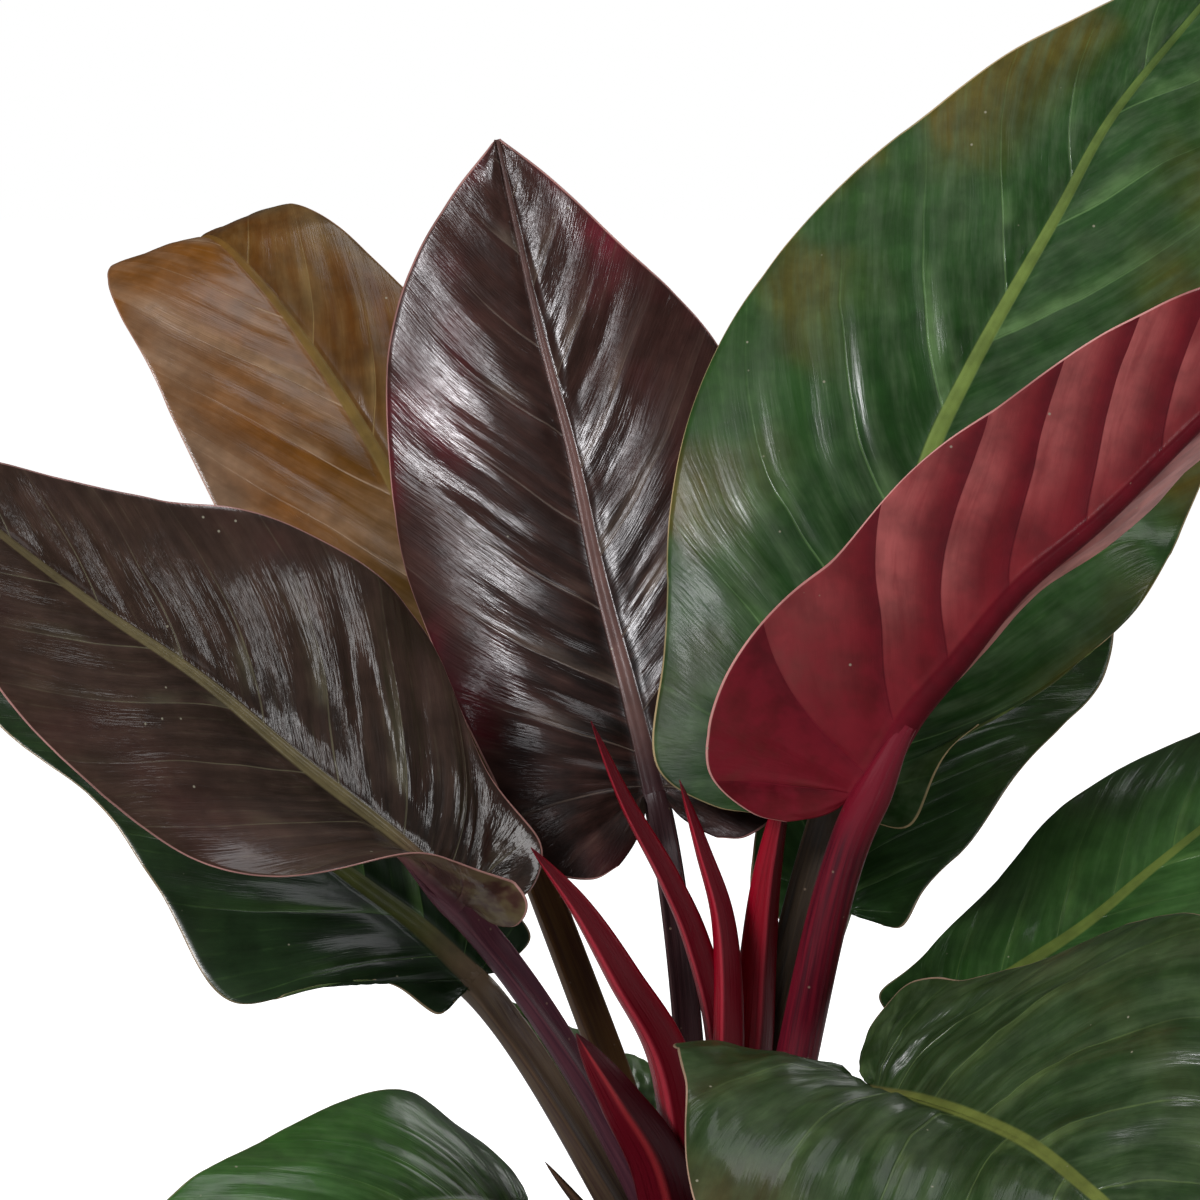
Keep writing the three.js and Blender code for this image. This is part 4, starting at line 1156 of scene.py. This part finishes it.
def leaf_gloss(s, look):
    """The coat fades towards the joint, on the midrib and in patches."""
    gloss = s.times(
        s.step(s.run, -0.02, 0.35, look.base_gloss, 1.0),
        s.step(s.patch, 0.35, 0.6, 0.55, 1.0),
        s.step(s.right, 0.0, 1.0, look.left_gloss, 1.0),
        s.plus(1.0, (s.on_rib, -0.75)),
        look.coat,
    )
    s.put(gloss, s.surface.inputs["Coat Weight"])


def leaf_material(leaf, look, joint):
    """The look of a leaf, whose midrib starts in the stalk's tone, named joint."""
    s = LeafShader(leaf.name, look)
    under = s.number("under")
    colour = s.blend(upper_side(s, look, joint), underside(s, look, joint), under)
    shade = s.plus(0.75, (s.step(s.mottle, 0.25, 0.75), 0.5))
    colour = s.blend(colour, s.vector(shade, shade, shade), 1.0, "MULTIPLY")
    line = s.times(s.fall(s.number("margin"), 0.3, 0.7), s.step(s.patch, 0.35, 0.6, 0.4, 0.9))
    dust = s.times(s.specks(s.here, 190, 0.05, 0.12, 0.93), 0.7)
    colour = s.layers(colour, (look.line, line), (DUST, dust))
    by_streak, by_mottle = s.step(s.streak, 0.3, 0.75), s.step(s.mottle, 0.3, 0.7)
    rough = s.plus(look.roughness, (by_streak, 0.1), (by_mottle, 0.06), (s.on_rib, 0.12), (under, 0.14))
    leaf_gloss(s, look)
    height = s.times(s.plus(s.streak, (s.fine, 0.6)), look.grain)
    height = s.plus(height, (s.mottle, 0.35), (s.lines, -0.1), (s.veined, -0.4))
    height = s.times(height, s.plus(1.0, (s.on_rib, -0.85)))
    return s.finish(colour, rough, s.bump(height, 0.0006, 0.6))


def stalk_material(name, dark, light, ridge):
    s = Shader("stalk_" + name, 0.4, 0.2)
    around, reach = s.number("around"), s.number("reach")
    streak = s.streaks((around, 26), (reach, 0.02), 4, 0.6)
    fine = s.streaks((around, 90), (reach, 0.05), 2)
    ridges = s.times(s.fall(s.off(s.off(around, 0.5), 0.17), 0.0, 0.035), 0.55)
    colour = s.layers(
        dark,
        (light, s.step(streak, 0.32, 0.68)),
        (light, s.step(s.number("run"), 0.9, 1.0)),
        (ridge, ridges),
        (STALK_SPECK, s.times(s.specks(s.place(), 260, 0.06, 0.16, 0.9), 0.5)),
    )
    rough = s.step(streak, 0.3, 0.7, 0.3, 0.44)
    return s.finish(colour, rough, s.bump(s.plus(streak, (fine, 0.5)), 0.0005, 0.5))


STALK_TONES = {
    "leaf_01": ((34, 18, 20), (54, 32, 34), (84, 56, 56)),
    "leaf_02": ((84, 56, 40), (112, 82, 48), (126, 92, 60)),
    "leaf_03": ((66, 34, 46), (92, 52, 62), (120, 74, 84)),
    "leaf_04": ((66, 50, 44), (90, 74, 56), (112, 90, 70)),
    "leaf_05": ((70, 40, 44), (92, 66, 54), (112, 80, 70)),
    "leaf_06": ((34, 26, 18), (60, 48, 34), (84, 66, 50)),
    "leaf_07": ((60, 70, 36), (96, 112, 56), (120, 126, 72)),
    "leaf_08": ((66, 12, 26), (112, 18, 36), (156, 70, 78)),
    "leaf_09": ((64, 60, 38), (96, 96, 54), (116, 100, 70)),
    "leaf_10": ((66, 58, 40), (96, 92, 52), (116, 96, 70)),
    "leaf_11": ((62, 58, 38), (92, 92, 52), (112, 96, 70)),
    "leaf_12": ((62, 50, 40), (88, 80, 52), (110, 90, 68)),
    "leaf_13": ((66, 46, 42), (92, 74, 54), (114, 88, 68)),
}


def sheath_material(name, deep, bright, keel_highlight_and_lip, roughness):
    s = Shader("sheath_" + name, roughness, 0.2)
    around, keel, run = s.number("around"), s.number("keel"), s.number("run")
    streak = s.streaks((around, 44), (run, 3), 4, 0.6)
    fine = s.streaks((around, 150), (run, 6), 2)
    # Beyond the keel lies painted shade, and at its tip the scale turns dark.
    colour = s.layers(
        deep,
        (bright, s.step(streak, 0.1, 0.55)),
        (deep, s.step(around, 0.7, 0.86, 0.0, 0.85)),
        # A painted highlight runs along the keel, and a paler line along each lip.
        (keel_highlight_and_lip, s.times(s.fall(keel, 0.0, 0.07), 0.6)),
        (keel_highlight_and_lip, s.times(s.fall(s.off(keel, 0.72), 0.0, 0.06), 0.4)),
        (deep, s.step(run, 0.93, 1.0, 0.0, 0.6)),
    )
    rough = s.step(streak, 0.3, 0.7, roughness - 0.06, roughness + 0.08)
    return s.finish(colour, rough, s.bump(s.plus(streak, (fine, 0.5)), 0.0004, 0.5))


def stem_material():
    s = Shader("stem_bark", 0.7)
    grain = s.noise(s.place(), 90, 5)
    ring = s.math("PINGPONG", s.times(s.number("run"), STEM_NODES), 0.5)
    scars = s.step(ring, 0.36, 0.5, 0.0, 0.8)
    colour = s.layers((74, 72, 44), ((122, 112, 72), s.step(grain, 0.3, 0.7)), ((70, 50, 34), scars))
    return s.finish(colour, s.step(grain, 0.3, 0.7, 0.6, 0.85), s.bump(grain, 0.001, 0.6))


def soil_material():
    s = Shader("soil_mix", 0.95, 0.25)
    kind, tone, place = s.number("kind"), s.number("tone"), s.place()
    grain = s.noise(place, 420, 6, 0.7)
    clod = s.noise(place, 120, 4)
    earth = s.blend((30, 21, 16), (66, 47, 34), s.step(s.math("ADD", grain, tone), 0.45, 1.3))
    bark = s.blend((62, 38, 24), (118, 80, 52), s.step(s.math("ADD", clod, tone), 0.5, 1.4))
    grit = s.blend((176, 170, 158), (222, 218, 208), grain)
    is_bark, is_grit = (s.math("GREATER_THAN", kind, low) for low in (0.5, 1.5))
    colour = s.layers(earth, (bark, is_bark), (grit, is_grit))
    return s.finish(colour, normal=s.bump(grain, 0.0012, 0.8))


def pot_material():
    s = Shader("pot_plastic", 0.5, 0.4)
    place = s.place()
    wear = s.noise(place, 14, 5, 0.6)
    scuff = s.step(s.noise(place, 60, 6, 0.75), 0.62, 0.78)
    worn = (58, 59, 61), s.step(wear, 0.35, 0.7)
    colour = s.layers((40, 41, 43), worn, ((92, 92, 92), s.times(scuff, 0.25)))
    rough = s.step(wear, 0.3, 0.7, 0.42, 0.58)
    return s.finish(colour, rough, s.bump(s.noise(place, 900, 3), 0.0003, 0.5))


def floor_material():
    """Pale and matt; it glows for the camera alone, weakly near the plant as painted light that lifts its
    shade, and further off as bright as the background.
    """
    s = Shader("floor_pale", 0.9, 0.2)
    length = s.node("VectorMath", "Value", {0: s.place()}, operation="LENGTH")
    # The glow that only the camera sees: painted light, weak near the plant and white further off.
    far = s.step(length, 0.2, 0.95, 0.22, 1.0)
    seen = s.node("LightPath", "Is Camera Ray", {})
    s.put(s.times(far, seen), s.surface.inputs["Emission Strength"])
    s.put((1, 1, 1, 1), s.surface.inputs["Emission Color"])
    return s.finish((0.86, 0.86, 0.86, 1))


# Assembly


def dress(piece, material, slot_name, *nodes):
    piece.data.materials.append(material)
    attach(piece, "root")
    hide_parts(*nodes)


def make_plant():
    for seed, leaf in enumerate(LEAVES):
        spine, tones = Spine(leaf), STALK_TONES[leaf.name]
        look = replace(LOOKS[leaf.look], **OWN.get(leaf.name, {}))
        blade = blade_object(leaf, spine, look, seed)
        dress(blade, leaf_material(leaf, look, tones[1]), "leaf_" + leaf.look, leaf.name + "_blade")
        stalk = stalk_object(leaf, spine)
        dress(stalk, stalk_material(leaf.name, *tones), "stalk", leaf.name + "_stalk")
    crimson = sheath_material("crimson", (64, 2, 12), (148, 4, 30), (190, 60, 74), 0.3)
    maroon = sheath_material("maroon", (44, 4, 12), (98, 12, 26), (176, 52, 56), 0.3)
    dry = sheath_material("dry", (58, 40, 28), (96, 70, 48), (120, 92, 66), 0.6)
    kinds = {"sheath_5": (maroon, "sheath"), "sheath_6": (dry, "sheath_dry")}
    for sheath in SHEATHS:
        dress(sheath_object(sheath), *kinds.get(sheath.name, (crimson, "sheath")), sheath.name)
    dress(stem_object(), stem_material(), "stem", "stem")
    dress(soil_object(), soil_material(), "soil", "soil")
    dress(pot_object(), pot_material(), "pot", "pot")


CAMERA_AIM = Vector((-0.036, 0, 0.43))
CAMERA_DISTANCE = 1.7
CAMERA_ELEVATION = np.radians(7)

LENS = 150
SENSOR = 36


def make_camera():
    data = bpy.data.cameras.new("camera")
    data.lens = LENS
    data.sensor_width = SENSOR
    camera = add_object("camera", data)
    back = Vector((0, -np.cos(CAMERA_ELEVATION), np.sin(CAMERA_ELEVATION)))
    camera.location = CAMERA_AIM + back * CAMERA_DISTANCE
    camera.rotation_euler = (-back).to_track_quat("-Z", "Y").to_euler()
    bpy.context.scene.camera = camera


# Name, place, width and height in metres, watts and colour. The key light is brightest in its middle.
SOFTBOXES = (
    ("key", (-1.6, -1.85, 1.75), (0.45, 0.4), 26, (0.98, 0.97, 1)),
    ("key_rim", (-1.62, -1.87, 1.77), (1.2, 1.0), 34, (0.98, 0.97, 1)),
    ("top", (0.3, 0.2, 2.3), (1.1, 0.7), 12, (0.97, 0.97, 1)),
    ("side", (1.9, -1.2, 1.3), (0.5, 1.0), 9, (1, 1, 1)),
    ("back", (1.3, 2.0, 1.4), (1.2, 1.0), 16, (1, 1, 1)),
)
LIGHTS_AIM = Vector((0, 0, 0.38))
SKY_LIGHT = 0.06


def softbox(name, place, size, watts, colour):
    data = bpy.data.lights.new(name, "AREA")
    data.shape = "RECTANGLE"
    data.size, data.size_y = size
    data.energy = watts
    data.color = colour
    light = add_object(name, data)
    light.location = place
    light.rotation_euler = (LIGHTS_AIM - Vector(place)).to_track_quat("-Z", "Y").to_euler()


def make_studio():
    """The softboxes, and a sky that lights the plant weakly but that the camera sees as white."""
    for values in SOFTBOXES:
        softbox(*values)
    world = bpy.data.worlds.new("studio")
    world.use_nodes = True
    nodes, links = world.node_tree.nodes, world.node_tree.links
    background = nodes["Background"]
    seen = nodes.new("ShaderNodeLightPath")
    strength = nodes.new("ShaderNodeMapRange")
    strength.inputs["To Min"].default_value = SKY_LIGHT
    strength.inputs["To Max"].default_value = 1.0
    links.new(seen.outputs["Is Camera Ray"], strength.inputs["Value"])
    links.new(strength.outputs[0], background.inputs["Strength"])
    background.inputs["Color"].default_value = (1, 1, 1, 1)
    bpy.context.scene.world = world
    bpy.context.scene.view_settings.view_transform = "Standard"


FLOOR_REACH = 12000


def make_floor():
    far = FLOOR_REACH
    corners = [(-far, -far, 0), (far, -far, 0), (far, far, 0), (-far, far, 0)]
    floor = make_object("floor", corners, [(0, 1, 2, 3)])
    floor.data.materials.append(floor_material())


make_camera()
make_plant()
make_floor()
make_studio()
